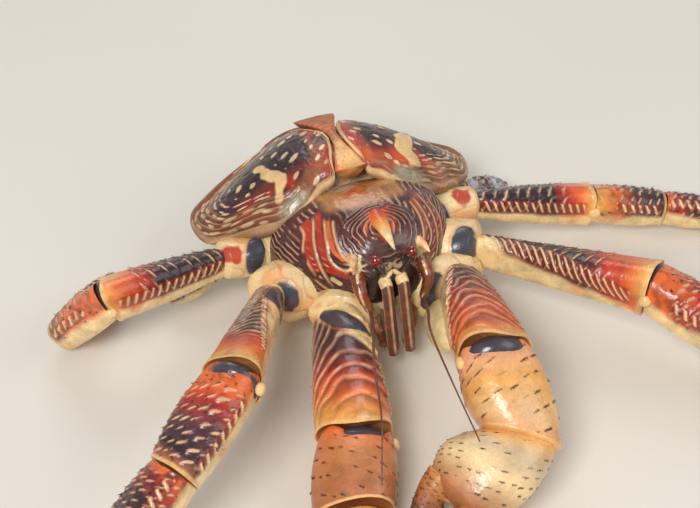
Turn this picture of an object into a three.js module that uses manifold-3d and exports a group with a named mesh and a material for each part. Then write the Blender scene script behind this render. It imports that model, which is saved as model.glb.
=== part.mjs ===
// A coconut crab at life size, crouching with its belly on the floor.
// Millimetres, +Z up. The head looks along -Y, +X is the crab's own left, and the floor is z = 0.
// The origin is the middle of the small flat under the belly.
import * as THREE from "three";
import { mergeVertices } from "three/addons/utils/BufferGeometryUtils.js";
import Module from "manifold-3d";

const wasm = await Module();
wasm.setup();

const { PI, abs, asin, cos, exp, max, min, sign, sin, sqrt } = Math;
const UP = new THREE.Vector3(0, 0, 1);
const SIDES = { left: 1, right: -1 };
const point = (x, y, z) => new THREE.Vector3(x, y, z);
const mix = (a, b, t) => a + (b - a) * t;
const radians = THREE.MathUtils.degToRad;
const smooth = (t) => THREE.MathUtils.smoothstep(t, 0, 1);

// Gap between touching pieces, and how far each limb piece stops short of its joint plane.
const GAP = 0.3;
const JOINT_GAP = 0.2;

// Head shield, seen from above: half widths and heights at stations from its rear to its front.
const SHIELD = [
  { y: -47, half: 46, top: 73, edge: 44 },
  { y: -57, half: 52, top: 77.5, edge: 41 },
  { y: -70, half: 51, top: 81.5, edge: 39 },
  { y: -84, half: 46, top: 82.5, edge: 38 },
  { y: -96, half: 37, top: 80, edge: 37 },
  { y: -105, half: 27, top: 75.5, edge: 37 },
  { y: -111, half: 18, top: 68, edge: 39 },
];
const SHIELD_SIDES = 24;
const SHIELD_SQUARENESS = 0.86;
const GASTRIC = { y: -80, halfLength: 27, halfWidth: 25, rise: 2.6 };
const ROSTRUM = { root: point(0, -88, 79), tip: point(0, -115.5, 80.5), half: 7.5, depth: 4.5 };
const CHEEK_SPINE = { root: point(19, -99, 67), tip: point(22, -112.5, 68), half: 4.6 };

// Gill lobe of the left side: its rim with the rim's height, and the arch that its back follows.
const LOBE_RIM = [
  point(10.5, -51, 78),
  point(18, -51.5, 72),
  point(29, -57, 66),
  point(43, -58, 60),
  point(57, -50, 50),
  point(70, -40, 42),
  point(82, -31, 39),
  point(86, -19, 41),
  point(83, -7, 42),
  point(73, 3, 42),
  point(57, 14, 43),
  point(38, 21, 48),
  point(21, 20, 58),
  point(12.5, 6, 73),
  point(7, -8, 82),
  point(3.8, -20, 87),
  point(4.2, -29, 88),
  point(7.5, -41, 85),
];
const ARCH = { crest: -30, top: 90, drop: 43, half: 84, curve: 1.6, front: 14, rear: 11.4, taper: 0.058 };
const LOBE_CROWN = { x: 26, y: -28 };
const LOBE_AROUND = 28;
const LOBE_RINGS = 6;
const LOBE_DEPTH = 9;

// The narrow-waisted plate between the lobes: half widths at stations from its front to its rear.
const HEART_PLATE = {
  stations: [
    { y: -50.5, half: 9.6 },
    { y: -41, half: 6.6 },
    { y: -30, half: 3.2 },
    { y: -19, half: 2.8 },
    { y: -8, half: 6 },
    { y: 4, half: 10.4 },
    { y: 12, half: 12.5 },
  ],
  depth: 12,
};

// Breast and gill chamber walls under the shell, from the face to the tail.
const THORAX = [
  { y: -112, half: 13, low: 33, high: 60 },
  { y: -104, half: 20, low: 26, high: 64 },
  { y: -90, half: 29, low: 18, high: 66 },
  { y: -68, half: 38, low: 15, high: 66 },
  { y: -40, half: 43, low: 17, high: 68 },
  { y: -14, half: 42, low: 22, high: 64 },
  { y: 4, half: 34, low: 28, high: 54 },
];
const THORAX_SIDES = 20;

// Tail, curled round a middle line across the body, and the plates on its back.
const TAIL = { centre: point(0, 6, 27), half: 40, reach: 38, low: 28.6, high: 30 };
const TAIL_PLATES = 4;
const TAIL_PLATE = { from: 62, to: -42, thickness: 3.2, lift: 1.3, half: 0.93 };
const TELSON = { from: -45, to: -73, half: 0.42, thickness: 2.6, lift: 0.6 };
const TAIL_ACROSS = 8;
const TAIL_BELLY_STEPS = 8;

// Eyes, feelers and mouth legs of the left side.
const EYE = { root: point(5, -111.5, 61), top: point(10, -114.3, 73), stalk: 3.1, radius: 3.4 };
const ANTENNULE = {
  root: point(4.9, -108, 57),
  knee: point(4.8, -117.5, 54),
  tip: point(4.9, -130, 15),
  fold: point(4.7, -124, 19),
  half: 2.5,
};
const ANTENNA = {
  root: point(19, -108, 61),
  bend: point(19.5, -117, 54),
  end: point(15.5, -120, 43),
  half: 4.4,
};
const FEELER_SIZE = { root: 1.5, middle: 0.9, tip: 0.45 };
const FEELERS = {
  right: [point(-22, -140, 51), point(-37, -180, 66), point(-46, -212, 64), point(-56, -238, 47)],
  left: [point(7, -146, 60), point(-7, -182, 82), point(-10, -214, 81), point(-4, -238, 58)],
};
const MOUTH_LEG = {
  root: point(10, -98, 27),
  bend: point(10.5, -117, 30),
  tip: point(7, -120, 13),
  half: 3.6,
};

// Limb pieces of both sides: length, then half width and half height at the start, middle and end.
// A limb piece is a rounded triangle in section, and its front edge can carry a comb of teeth.
const CLAW_LIMB = {
  merus: { long: 80, wide: [13, 17.5, 20], high: [14, 18, 19], comb: 8, edge: 0.09, roll: 14 },
  carpus: { long: 47, wide: [18, 22, 20], high: [16, 21, 19], edge: 0.05, roll: 0 },
  palm: { long: 44, wide: [16, 25, 20], high: [15, 21, 15], edge: 0.03, roll: 0 },
  finger: { long: 40 },
};
const WALK_LIMB = {
  merus: { long: 104, wide: [8.5, 12, 15.5], high: [9, 12, 15.5], comb: 10, edge: 0.12, roll: 10 },
  carpus: { long: 58, wide: [14.5, 16.5, 13.5], high: [14, 15, 13], comb: 6, edge: 0.09, roll: 10 },
  propodus: { long: 66, wide: [13, 14, 8.5], high: [12.5, 13.5, 8.5], comb: 6, edge: 0.08, roll: 10 },
  dactyl: { long: 46, half: 7.2 },
};
const REAR_LIMB = {
  merus: { long: 74, wide: [7, 10.5, 12], high: [8, 11.5, 12.5], comb: 8, edge: 0.12, roll: 10 },
  carpus: { long: 46, wide: [11.5, 12.5, 10.5], high: [11, 11.5, 10], comb: 5, edge: 0.09, roll: 10 },
  propodus: { long: 48, wide: [9.5, 10, 6.5], high: [9.5, 10, 6.5], comb: 5, edge: 0.08, roll: 10 },
  dactyl: { long: 40, half: 5.6 },
};
const SMALL_LIMB = {
  arm: { long: 48, wide: [6, 8.5, 6], high: [6, 8, 6], edge: 0.06, roll: 0 },
  claw: { long: 28, wide: [5.5, 7.5, 2.2], high: [5.5, 7, 1.8], edge: 0.04, roll: 0 },
};
// The claw of the right side is the smaller one.
const RIGHT_CLAW = 0.84;
const COMB_ANGLE = radians(48);
const COMB_WIDTH = radians(15);
const COMB_HEIGHT = 0.13;
const PLATE_RIDGE = 0.022;

// The pose. A hip is a place, and each next piece has a heading, from straight ahead towards the
// crab's own side, and a pitch above level. The last piece of a walking leg comes down to the floor.
const POSE = {
  claw: {
    socket: point(14, -92, 30),
    right: { hip: point(-29, -109, 32), merus: [14.5, -4.3], carpus: [22, -13], palm: [5, -6], finger: -8 },
    left: { hip: point(40, -112, 36), merus: [-11, 17.5], carpus: [-3, -27], palm: [-72, -20], finger: -60 },
  },
  front_leg: {
    socket: point(20, -71, 32),
    right: { hip: point(-60, -85, 38), merus: [29.4, 20.8], carpus: [50, -14], propodus: [70, -36], dactyl: 76 },
    left: { hip: point(60, -90, 39), merus: [46.6, 4.5], carpus: [37, -14], propodus: [44, -20], dactyl: 46 },
  },
  rear_leg: {
    socket: point(22, -46, 33),
    right: { hip: point(-77, -49, 40), merus: [75.8, 8.5], carpus: [138, -51], propodus: [228, -8], dactyl: 260 },
    left: { hip: point(77, -49, 34), merus: [79, -7.8], carpus: [75, -10], propodus: [66, -6], dactyl: 66 },
  },
  small_leg: {
    right: { hip: point(-38, -20, 29), arm: [70, -11], claw: [77, -17] },
    left: { hip: point(38, -21, 26), arm: [86, -5], claw: [94, -12] },
  },
};
const COXA = {
  claw: { wide: [15, 19, 17], high: [14, 18, 17] },
  front_leg: { wide: [15, 18.5, 15.5], high: [14, 18, 16] },
  rear_leg: { wide: [13, 13.5, 10.5], high: [13, 13, 11] },
};
const TIP_RADIUS = 1.1;

// Finishes of the crab's parts.
const finish = (color, roughness) =>
  new THREE.MeshStandardMaterial({ color, roughness, metalness: 0 });
const FINISHES = {
  shell: finish(0x6e2a1c, 0.38),
  lobe: finish(0x4a231a, 0.42),
  heart: finish(0xd98f4e, 0.45),
  cream: finish(0xe9c184, 0.45),
  limb: finish(0x9c4529, 0.4),
  claw: finish(0xd9884a, 0.42),
  tip: finish(0x3b2c26, 0.5),
  tail: finish(0x8a5236, 0.55),
  stalk: finish(0x26201f, 0.35),
  eye: finish(0x7d1611, 0.12),
  feeler: finish(0x7c4630, 0.35),
  mouth: finish(0x6d4a34, 0.6),
  small: finish(0x8e98a0, 0.45),
};

// Closes a stack of rings of equal length, or single points, into one surface facing outwards.
function stack(rings) {
  const points = [];
  const faces = [];
  const starts = rings.map((ring) => {
    points.push(...ring);
    return points.length - ring.length;
  });
  const cap = (ring, start) => {
    const centre = ring.reduce((sum, p) => sum.add(p), point(0, 0, 0)).divideScalar(ring.length);
    points.push(centre);
    ring.forEach((_, i) => faces.push([points.length - 1, start + i, start + ((i + 1) % ring.length)]));
  };
  rings.slice(1).forEach((ring, k) => {
    const below = rings[k];
    const [a, b] = [starts[k], starts[k + 1]];
    const count = max(ring.length, below.length);
    for (let i = 0; i < count; i++) {
      const j = (i + 1) % count;
      if (below.length === 1) faces.push([a, b + j, b + i]);
      else if (ring.length === 1) faces.push([a + i, a + j, b]);
      else faces.push([a + i, a + j, b + j], [a + i, b + j, b + i]);
    }
  });
  const bottom = faces.length;
  if (rings[0].length > 1) cap(rings[0], starts[0]);
  for (const face of faces.slice(bottom)) face.reverse();
  const last = rings.length - 1;
  if (rings[last].length > 1) cap(rings[last], starts[last]);
  return surface(points, faces);
}

// A geometry from points and triangles, turned so that its volume is positive.
function surface(points, faces) {
  const volume = faces.reduce((sum, [a, b, c]) => {
    const across = points[b].clone().cross(points[c]);
    return sum + points[a].dot(across);
  }, 0);
  const turned = volume < 0 ? faces.map(([a, b, c]) => [a, c, b]) : faces;
  return new THREE.BufferGeometry().setFromPoints(points).setIndex(turned.flat());
}

// A closed geometry as a solid that can be joined and cut.
function solid(geometry) {
  const bare = mergeVertices(
    new THREE.BufferGeometry()
      .setAttribute("position", geometry.getAttribute("position"))
      .setIndex(geometry.index),
    1e-4,
  );
  return new wasm.Manifold(
    new wasm.Mesh({
      numProp: 3,
      vertProperties: bare.getAttribute("position").array,
      triVerts: new Uint32Array(bare.index.array),
    }),
  );
}

function geometryOf(shape) {
  const { vertProperties, triVerts, numProp } = shape.getMesh();
  const places = new Float32Array((vertProperties.length / numProp) * 3);
  for (let i = 0; i < places.length / 3; i++)
    places.set(vertProperties.subarray(i * numProp, i * numProp + 3), i * 3);
  return new THREE.BufferGeometry()
    .setAttribute("position", new THREE.BufferAttribute(places, 3))
    .setIndex(new THREE.BufferAttribute(triVerts, 1));
}

// The same solid with each vertex moved out along its normal.
function grown(shape, distance) {
  const geometry = geometryOf(shape);
  geometry.computeVertexNormals();
  const places = geometry.getAttribute("position");
  const normals = geometry.getAttribute("normal");
  for (let i = 0; i < places.count; i++)
    places.setXYZ(
      i,
      places.getX(i) + normals.getX(i) * distance,
      places.getY(i) + normals.getY(i) * distance,
      places.getZ(i) + normals.getZ(i) * distance,
    );
  return solid(geometry);
}

const joined = (shapes) => shapes.reduce((whole, shape) => whole.add(shape));
const largest = (shape) =>
  shape.decompose().reduce((best, part) => (part.volume() > best.volume() ? part : best));
const aboveFloor = (shape) => shape.trimByPlane([0, 0, 1], 0);
const power = (value, exponent) => sign(value) * abs(value) ** exponent;
const mirrored = (place, side) => point(place.x * side, place.y, place.z);

// A value that runs from start to end through a middle, by a quadratic curve.
const through = ([start, middle, end], t) => {
  const pull = 2 * middle - (start + end) / 2;
  return start * (1 - t) ** 2 + 2 * pull * t * (1 - t) + end * t ** 2;
};

// Axes across a limb piece: ahead towards the head or the middle line, and up over its back.
function across(axis, side, roll) {
  const ahead = axis.clone().cross(UP).multiplyScalar(side).normalize();
  const up = ahead.clone().cross(axis).multiplyScalar(side).normalize();
  const turn = radians(roll);
  return {
    ahead: ahead.clone().multiplyScalar(cos(turn)).addScaledVector(up, sin(turn)),
    up: up.multiplyScalar(cos(turn)).addScaledVector(ahead, -sin(turn)),
  };
}

// How a joint plane leans away from square to the axis, held to a slope that keeps rings apart.
const MOST_LEAN = 0.7;
const tilt = (plane, axis) =>
  plane.clone().divideScalar(axis.dot(plane)).sub(axis).clampLength(0, MOST_LEAN);

// One piece of a limb between two joint planes.
function limbPiece({ from, to, startPlane, endPlane, side, wide, high, edge, comb = 0, roll, sides, steps = 8 }) {
  const axis = to.clone().sub(from).normalize();
  const length = from.distanceTo(to);
  const { ahead, up } = across(axis, side, roll);
  const [startTilt, endTilt] = [startPlane, endPlane].map((plane) => tilt(plane, axis));
  const teeth = comb ? 2 * comb : steps;
  const rings = [];
  for (let k = 0; k <= teeth; k++) {
    const t = k / teeth;
    const peak = comb && k % 2 && k < teeth ? 1 : 0;
    const ring = [];
    for (let i = 0; i < sides; i++) {
      const angle = COMB_ANGLE + (2 * PI * i) / sides;
      const away = THREE.MathUtils.euclideanModulo(angle - COMB_ANGLE + PI, 2 * PI) - PI;
      const crest = comb ? COMB_HEIGHT * (0.35 + 0.65 * peak) * exp(-((away / COMB_WIDTH) ** 2)) : 0;
      const ridge = comb ? PLATE_RIDGE * (2 * peak - 1) * max(0, sin(angle)) : 0;
      const size = 1 + edge * cos(3 * away) + crest + ridge;
      const offset = ahead
        .clone()
        .multiplyScalar(through(wide, t) * size * cos(angle))
        .addScaledVector(up, through(high, t) * size * sin(angle));
      const slide = -((1 - t) ** 1.5) * offset.dot(startTilt) - t ** 1.5 * offset.dot(endTilt);
      const along = mix(JOINT_GAP, length - JOINT_GAP, t) + slide;
      ring.push(from.clone().addScaledVector(axis, along).add(offset));
    }
    rings.push(ring);
  }
  return solid(stack(rings));
}

// A round or flattened bar along a curve, with half sizes as functions of the share travelled.
function bar(places, wide, high, sides, steps, hint = UP) {
  const curve = new THREE.CatmullRomCurve3(places, false, "centripetal");
  const rings = [];
  for (let k = 0; k <= steps; k++) {
    const t = k / steps;
    const centre = curve.getPoint(t);
    const axis = curve.getTangent(t);
    const ahead = axis.clone().cross(hint).normalize();
    const up = ahead.clone().cross(axis).normalize();
    const ring = [];
    for (let i = 0; i < sides; i++) {
      const angle = (2 * PI * i) / sides;
      ring.push(
        centre
          .clone()
          .addScaledVector(ahead, wide(t) * cos(angle))
          .addScaledVector(up, high(t) * sin(angle)),
      );
    }
    rings.push(ring);
  }
  return solid(stack(rings));
}

const cone = (root, tip, half, sides = 8) =>
  bar([root, tip], (t) => mix(half, 0.3, t), (t) => mix(half, 0.3, t), sides, 1, point(0.3, 0.2, 1));

// Where a limb's joints stand, from its hip on.
function joints(hip, side, pieces) {
  const places = [hip];
  for (const { long, heading, pitch } of pieces) {
    const last = places.at(-1);
    const rise = pitch === undefined ? -asin(min(1, last.z / long)) : radians(pitch);
    const turn = radians(heading);
    places.push(
      last
        .clone()
        .add(
          point(side * sin(turn) * cos(rise), -cos(turn) * cos(rise), sin(rise)).multiplyScalar(long),
        ),
    );
  }
  return places;
}

// The plane at each joint halves the bend there.
function jointPlanes(places) {
  const axes = places.slice(1).map((p, i) => p.clone().sub(places[i]).normalize());
  return places.map((_, i) => {
    const before = axes[max(0, i - 1)];
    const after = axes[min(axes.length - 1, i)];
    return before.clone().add(after).normalize();
  });
}

// The head shield: a dome over the front of the body, with a raised middle, a beak and two spines.
function shield() {
  const rings = SHIELD.map(({ y, half, top, edge }) => {
    const ring = [];
    for (let i = 0; i <= SHIELD_SIDES; i++) {
      const angle = (PI * i) / SHIELD_SIDES;
      const x = half * power(cos(angle), SHIELD_SQUARENESS);
      const bump = exp(-((x / GASTRIC.halfWidth) ** 4) - ((y - GASTRIC.y) / GASTRIC.halfLength) ** 4);
      const z = edge + (top - edge) * power(sin(angle), SHIELD_SQUARENESS);
      ring.push(point(x, y, z + GASTRIC.rise * (bump - 0.5) * sin(angle)));
    }
    return ring;
  });
  const spines = Object.values(SIDES).map((side) =>
    cone(mirrored(CHEEK_SPINE.root, side), mirrored(CHEEK_SPINE.tip, side), CHEEK_SPINE.half),
  );
  const beak = bar(
    [ROSTRUM.root, ROSTRUM.tip],
    (t) => mix(ROSTRUM.half, 0.5, t),
    (t) => mix(ROSTRUM.depth, 0.5, t),
    8,
    2,
  );
  return joined([solid(stack(rings)), beak, ...spines]);
}

// The height of the arched back at a place seen from above.
function archHeight(x, y) {
  const { crest, top, drop, half, curve, front, rear, taper } = ARCH;
  const across = drop * (abs(x) / half) ** curve;
  const along = y < crest ? (crest - y) / front : (y - crest) / (rear - taper * abs(x));
  return top - across - along ** 2;
}

// A gill lobe: the arched back rounded down to its rim, with a shallow underside.
function gillLobe(side) {
  const rim = new THREE.CatmullRomCurve3(LOBE_RIM, true, "centripetal");
  const ringAt = (share, under) => {
    const ring = [];
    for (let i = 0; i < LOBE_AROUND; i++) {
      const edge = rim.getPoint(i / LOBE_AROUND);
      const x = mix(LOBE_CROWN.x, edge.x, share);
      const y = mix(LOBE_CROWN.y, edge.y, share);
      const rise = sqrt(1 - share ** 5);
      const z = under ? edge.z - LOBE_DEPTH * (1 - share ** 2) : mix(edge.z, archHeight(x, y), rise);
      ring.push(mirrored(point(x, y, z), side));
    }
    return ring;
  };
  const { x, y } = LOBE_CROWN;
  const rings = [[mirrored(point(x, y, archHeight(x, y)), side)]];
  for (let k = 1; k <= LOBE_RINGS; k++) rings.push(ringAt(sin((PI / 2) * (k / LOBE_RINGS)), false));
  rings.push(ringAt(0.9, true), ringAt(0.5, true));
  return solid(stack(rings));
}

// The plate between the two lobes follows the same arch.
function heartPlate() {
  const { stations, depth } = HEART_PLATE;
  const rings = stations.map(({ y, half }) => {
    const top = archHeight(0, y) - 0.6;
    return [-1, -0.5, 0.5, 1]
      .map((share) => point(share * half, y, top - 1.2 * share ** 2))
      .concat(point(half, y, top - depth), point(-half, y, top - depth));
  });
  return solid(stack(rings));
}

function thorax() {
  const rings = THORAX.map(({ y, half, low, high }) => {
    const ring = [];
    for (let i = 0; i < THORAX_SIDES; i++) {
      const angle = (2 * PI * i) / THORAX_SIDES;
      const middle = (low + high) / 2;
      const tall = (high - low) / 2;
      ring.push(point(half * power(cos(angle), 0.8), y, middle + tall * power(sin(angle), 0.8)));
    }
    return ring;
  });
  return solid(stack(rings));
}

// A place on the tail's outside: the angle is 0 at the very rear and 90 on top.
function tailPlace(degrees, share, out) {
  const { centre, half, reach, low, high } = TAIL;
  const angle = radians(degrees);
  const tall = sin(angle) > 0 ? high : low;
  const shrink = sqrt(max(0, 1 - share * share));
  return point(
    centre.x + (half + out) * share,
    centre.y + (reach * shrink + out) * cos(angle),
    centre.z + (tall * shrink + out) * sin(angle),
  );
}

// Where the tail's plates divide its width, so that plates and tail share their flat faces.
const tailShares = () =>
  Array.from({ length: TAIL_ACROSS + 1 }, (_, k) => TAIL_PLATE.half * sin(PI * (k / TAIL_ACROSS - 0.5)));

function tail() {
  const { centre, half } = TAIL;
  const { from, to } = TAIL_PLATE;
  const angles = [];
  const steps = 2 * TAIL_PLATES;
  for (let k = 0; k <= steps; k++) angles.push(mix(from, to, k / steps));
  const under = from - to - 360;
  for (let k = 1; k < TAIL_BELLY_STEPS; k++) angles.push(to + (under * k) / TAIL_BELLY_STEPS);
  const end = (share) => [point(centre.x + half * share, centre.y, centre.z)];
  const rings = tailShares().map((share) => angles.map((angle) => tailPlace(angle, share, 0)));
  return aboveFloor(solid(stack([end(-1), ...rings, end(1)])));
}

// One plate of the tail's back, thick at its free rear edge.
function tailPlate({ from, to, half, thickness, lift }) {
  const rings = tailShares().map((place) => {
    const share = (place * half) / TAIL_PLATE.half;
    const thin = sqrt(1 - 0.7 * (share / half) ** 2);
    const middle = (from + to) / 2;
    return [
      tailPlace(from, share, GAP),
      tailPlace(from, share, GAP + thickness * thin),
      tailPlace(middle, share, GAP + (thickness + lift * 0.6) * thin),
      tailPlace(to, share, GAP + (thickness + lift) * thin),
      tailPlace(to, share, GAP),
      tailPlace(middle, share, GAP),
    ];
  });
  return aboveFloor(solid(stack(rings)));
}

// An eye is a dome on a short stalk.
function eyeStalk(side) {
  const places = [EYE.root, EYE.top].map((place) => mirrored(place, side));
  return bar(places, () => EYE.stalk, () => EYE.stalk, 10, 2, point(0, 1, 0.2));
}

function eye(side) {
  const top = mirrored(EYE.top, side);
  const axis = top.clone().sub(mirrored(EYE.root, side)).normalize();
  const base = top.clone().addScaledVector(axis, GAP);
  const height = EYE.radius * 1.35;
  const size = (t) => EYE.radius * sqrt(max(0.02, 1 - t ** 2.4));
  const places = [base, base.clone().addScaledVector(axis, height)];
  return bar(places, size, size, 10, 6, point(0, 1, 0.2));
}

// A folded feeler between the eyes: a knee, a long rod down and a thinner one beside it.
function antennule(side) {
  const { root, knee, tip, fold, half } = ANTENNULE;
  const [a, b, c, d] = [root, knee, tip, fold].map((place) => mirrored(place, side));
  const behind = point(0, 3.4, 0);
  const ahead = point(0, 1, 0);
  return joined([
    bar([a, b], () => half * 1.1, () => half * 1.1, 8, 1),
    bar([b.clone().add(point(0, 1.5, 1.5)), b, c], () => half * 0.95, (t) => half * mix(1.1, 0.9, t), 8, 5, ahead),
    bar([c.clone().add(point(0, 0.8, 1)), d], () => half * 0.8, () => half * 0.8, 8, 1, UP),
    bar([d, b.clone().add(behind).add(point(0, 1, -6))], (t) => half * mix(0.8, 0.5, t), () => half * 0.7, 8, 3, ahead),
  ]);
}

function antennaBase(side) {
  const { root, bend, end, half } = ANTENNA;
  const places = [root, bend, end].map((place) => mirrored(place, side));
  return bar(places, (t) => mix(half, half * 0.5, t), (t) => mix(half, half * 0.5, t), 10, 5, point(1, 0, 0.2));
}

// The whip of an antenna, in an inner and an outer length.
function feelerLengths(name, side) {
  const start = mirrored(ANTENNA.end, side);
  const lead = mirrored(ANTENNA.end.clone().sub(ANTENNA.bend), side).normalize();
  const places = [start.clone().addScaledVector(lead, 2 * GAP), ...FEELERS[name]];
  const curve = new THREE.CatmullRomCurve3(places, false, "centripetal");
  const cut = 0.5;
  const slack = 0.004;
  const stretch = (from, to) =>
    Array.from({ length: 9 }, (_, i) => curve.getPoint(mix(from, to, i / 8)));
  const size = (t) => through([FEELER_SIZE.root, FEELER_SIZE.middle, FEELER_SIZE.tip], t);
  const hint = point(1, 0.2, 0.1);
  const inner = (t) => size(t * cut);
  const outer = (t) => size(mix(cut, 1, t));
  return {
    inner: bar(stretch(0, cut - slack), inner, inner, 6, 12, hint),
    outer: bar(stretch(cut + slack, 1), outer, outer, 6, 12, hint),
  };
}

function mouthLeg(side) {
  const { root, bend, tip, half } = MOUTH_LEG;
  const places = [root, bend, tip].map((place) => mirrored(place, side));
  return bar(places, (t) => mix(half, half * 0.45, t), (t) => mix(half * 1.2, half * 0.5, t), 8, 6, point(1, 0, 0.1));
}

// A pointed horn that bends down towards its tip, for the ends of the walking legs.
function dactyl({ from, to, startPlane, half }) {
  const axis = to.clone().sub(from).normalize();
  const begin = from.clone().addScaledVector(axis, JOINT_GAP);
  const arch = from.clone().lerp(to, 0.55).addScaledVector(UP, half * 0.55);
  const foot = to.clone().addScaledVector(UP, TIP_RADIUS * 0.8);
  const horn = bar(
    [begin.clone().addScaledVector(axis, -half), begin, arch, foot],
    (t) => mix(half, TIP_RADIUS, smooth(max(0, t - 0.2) / 0.8)),
    (t) => mix(half * 1.05, TIP_RADIUS, smooth(max(0, t - 0.2) / 0.8)),
    10,
    9,
  );
  const edge = begin.clone().addScaledVector(startPlane, JOINT_GAP).dot(startPlane);
  return aboveFloor(horn.trimByPlane(startPlane.toArray(), edge));
}

// A horn with blunt teeth along one edge, for the two fingers of a big claw.
function clawFinger(places, half, toothSide, scale) {
  const curve = new THREE.CatmullRomCurve3(places, false, "centripetal");
  const size = (t) => half * (1 - 0.78 * t ** 1.4);
  const horn = bar(places, size, (t) => size(t) * 1.15, 10, 6);
  const teeth = [0.25, 0.42, 0.58, 0.73].map((t) => {
    const root = curve.getPoint(t);
    const tip = root.clone().addScaledVector(toothSide, size(t) + 2.6 * scale);
    return cone(root, tip, 3.4 * scale * (1 - 0.5 * t), 5);
  });
  return joined([horn, ...teeth]);
}

// The hand of a big claw: a swollen palm with the fixed finger, and the moving finger apart.
function hand({ wrist, knuckle, tip, startPlane, side, scale, palm }) {
  const axis = knuckle.clone().sub(wrist).normalize();
  const point_ahead = tip.clone().sub(knuckle).normalize();
  const { ahead, up } = across(point_ahead, side, 0);
  const grow = (sizes) => sizes.map((size) => size * scale);
  const block = limbPiece({
    from: wrist,
    to: knuckle,
    startPlane,
    endPlane: axis,
    side,
    wide: grow(palm.wide),
    high: grow(palm.high),
    edge: palm.edge,
    roll: 0,
    sides: 14,
  });
  const open = ahead.clone().multiplyScalar(1);
  const place = (along, acrossBy, upBy) =>
    knuckle
      .clone()
      .addScaledVector(point_ahead, along * scale)
      .addScaledVector(ahead, acrossBy * scale)
      .addScaledVector(up, upBy * scale);
  const long = tip.distanceTo(knuckle) / scale;
  const fixed = clawFinger(
    [place(-8, -9, 0), place(4, -10, -1), place(long * 0.6, -8.5, -2), place(long, -2.5, -2)],
    10.5 * scale,
    open,
    scale,
  );
  const moving = clawFinger(
    [place(-6, 11, 1), place(6, 12.5, 1), place(long * 0.6, 10.5, 0), place(long, 2.5, 0)],
    9.5 * scale,
    open.clone().negate(),
    scale,
  );
  return { palm: joined([block, fixed]), finger: moving };
}

// All parts in the order in which they keep their shape: each is cut back by those before it.
const parts = [];
const add = (name, group, shape, finishName, pivot) =>
  parts.push({ name, group, shape, finishName, pivot });

add("heart_plate", "body", heartPlate(), "heart", point(0, ARCH.crest, ARCH.top));
for (const [name, side] of Object.entries(SIDES)) {
  const crown = point(LOBE_CROWN.x, LOBE_CROWN.y, archHeight(LOBE_CROWN.x, LOBE_CROWN.y));
  add(`gill_lobe_${name}`, "body", gillLobe(side), "lobe", mirrored(crown, side));
}
add("shield", "body", shield(), "shell", ROSTRUM.root);
add("thorax", "body", thorax(), "cream", point(0, -50, 40));

for (let k = 0; k < TAIL_PLATES; k++) {
  const span = (TAIL_PLATE.to - TAIL_PLATE.from) / TAIL_PLATES;
  const from = TAIL_PLATE.from + span * k;
  const shape = tailPlate({ ...TAIL_PLATE, from, to: from + span * 0.98 });
  add(`tail_plate_${k + 1}`, "tail", shape, "tail", TAIL.centre);
}
add("telson", "tail", tailPlate(TELSON), "tail", TAIL.centre);
add("tail", "tail", tail(), "cream", TAIL.centre);

for (const [name, side] of Object.entries(SIDES)) {
  add(`eye_${name}`, "head", eye(side), "eye", mirrored(EYE.top, side));
  add(`eye_stalk_${name}`, "head", eyeStalk(side), "stalk", mirrored(EYE.root, side));
  add(`antennule_${name}`, "head", antennule(side), "feeler", mirrored(ANTENNULE.knee, side));
  add(`antenna_base_${name}`, "head", antennaBase(side), "feeler", mirrored(ANTENNA.root, side));
  const { inner, outer } = feelerLengths(name, side);
  add(`antenna_whip_${name}`, "head", inner, "feeler", mirrored(ANTENNA.end, side));
  add(`antenna_tip_${name}`, "head", outer, "feeler", FEELERS[name][1]);
  add(`mouth_leg_${name}`, "head", mouthLeg(side), "mouth", mirrored(MOUTH_LEG.root, side));
}

for (const [name, side] of Object.entries(SIDES)) {
  const scale = name === "right" ? RIGHT_CLAW : 1;
  const limbs = [
    ["claw", CLAW_LIMB, ["merus", "carpus", "palm", "finger"]],
    ["front_leg", WALK_LIMB, ["merus", "carpus", "propodus", "dactyl"]],
    ["rear_leg", REAR_LIMB, ["merus", "carpus", "propodus", "dactyl"]],
    ["small_leg", SMALL_LIMB, ["arm", "claw"]],
  ];
  for (const [limb, sizes, order] of limbs) {
    const pose = POSE[limb][name];
    const handScale = (piece) => (limb === "claw" && (piece === "palm" || piece === "finger") ? scale : 1);
    const steps = order.map((piece) => {
      const aim = pose[piece];
      const [heading, pitch] = Array.isArray(aim) ? aim : [aim, undefined];
      return { long: sizes[piece].long * handScale(piece), heading, pitch };
    });
    const root = POSE[limb].socket ? [mirrored(POSE[limb].socket, side)] : [];
    const places = [...root, ...joints(pose.hip, side, steps)];
    const planes = jointPlanes(places);
    const id = `${limb}_${name}`;
    if (root.length) {
      const ends = { from: places[0], to: places[1], startPlane: planes[0], endPlane: planes[1] };
      const coxa = limbPiece({ ...COXA[limb], ...ends, side, edge: 0.05, roll: 0, sides: 12, steps: 5 });
      add(`${id}_coxa`, id, coxa, "cream", places[1]);
    }
    order.forEach((piece, i) => {
      const first = i + root.length;
      const [from, to, beyond] = places.slice(first, first + 3);
      const [startPlane, endPlane] = planes.slice(first, first + 2);
      if (piece === "finger") return;
      if (piece === "palm") {
        const made = hand({ wrist: from, knuckle: to, tip: beyond, startPlane, side, scale, palm: sizes.palm });
        add(`${id}_palm`, id, aboveFloor(made.palm), "claw", from);
        add(`${id}_finger`, id, aboveFloor(made.finger), "claw", to);
        return;
      }
      if (piece === "dactyl") {
        add(`${id}_dactyl`, id, dactyl({ from, to, startPlane, half: sizes.dactyl.half }), "tip", from);
        return;
      }
      const finishName = limb === "small_leg" ? "small" : limb === "claw" && piece === "carpus" ? "claw" : "limb";
      const sides = limb === "claw" ? 14 : 12;
      const spec = { ...sizes[piece], from, to, startPlane, endPlane, side, sides };
      add(`${id}_${piece}`, id, aboveFloor(limbPiece(spec)), finishName, from);
    });
  }
}

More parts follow.
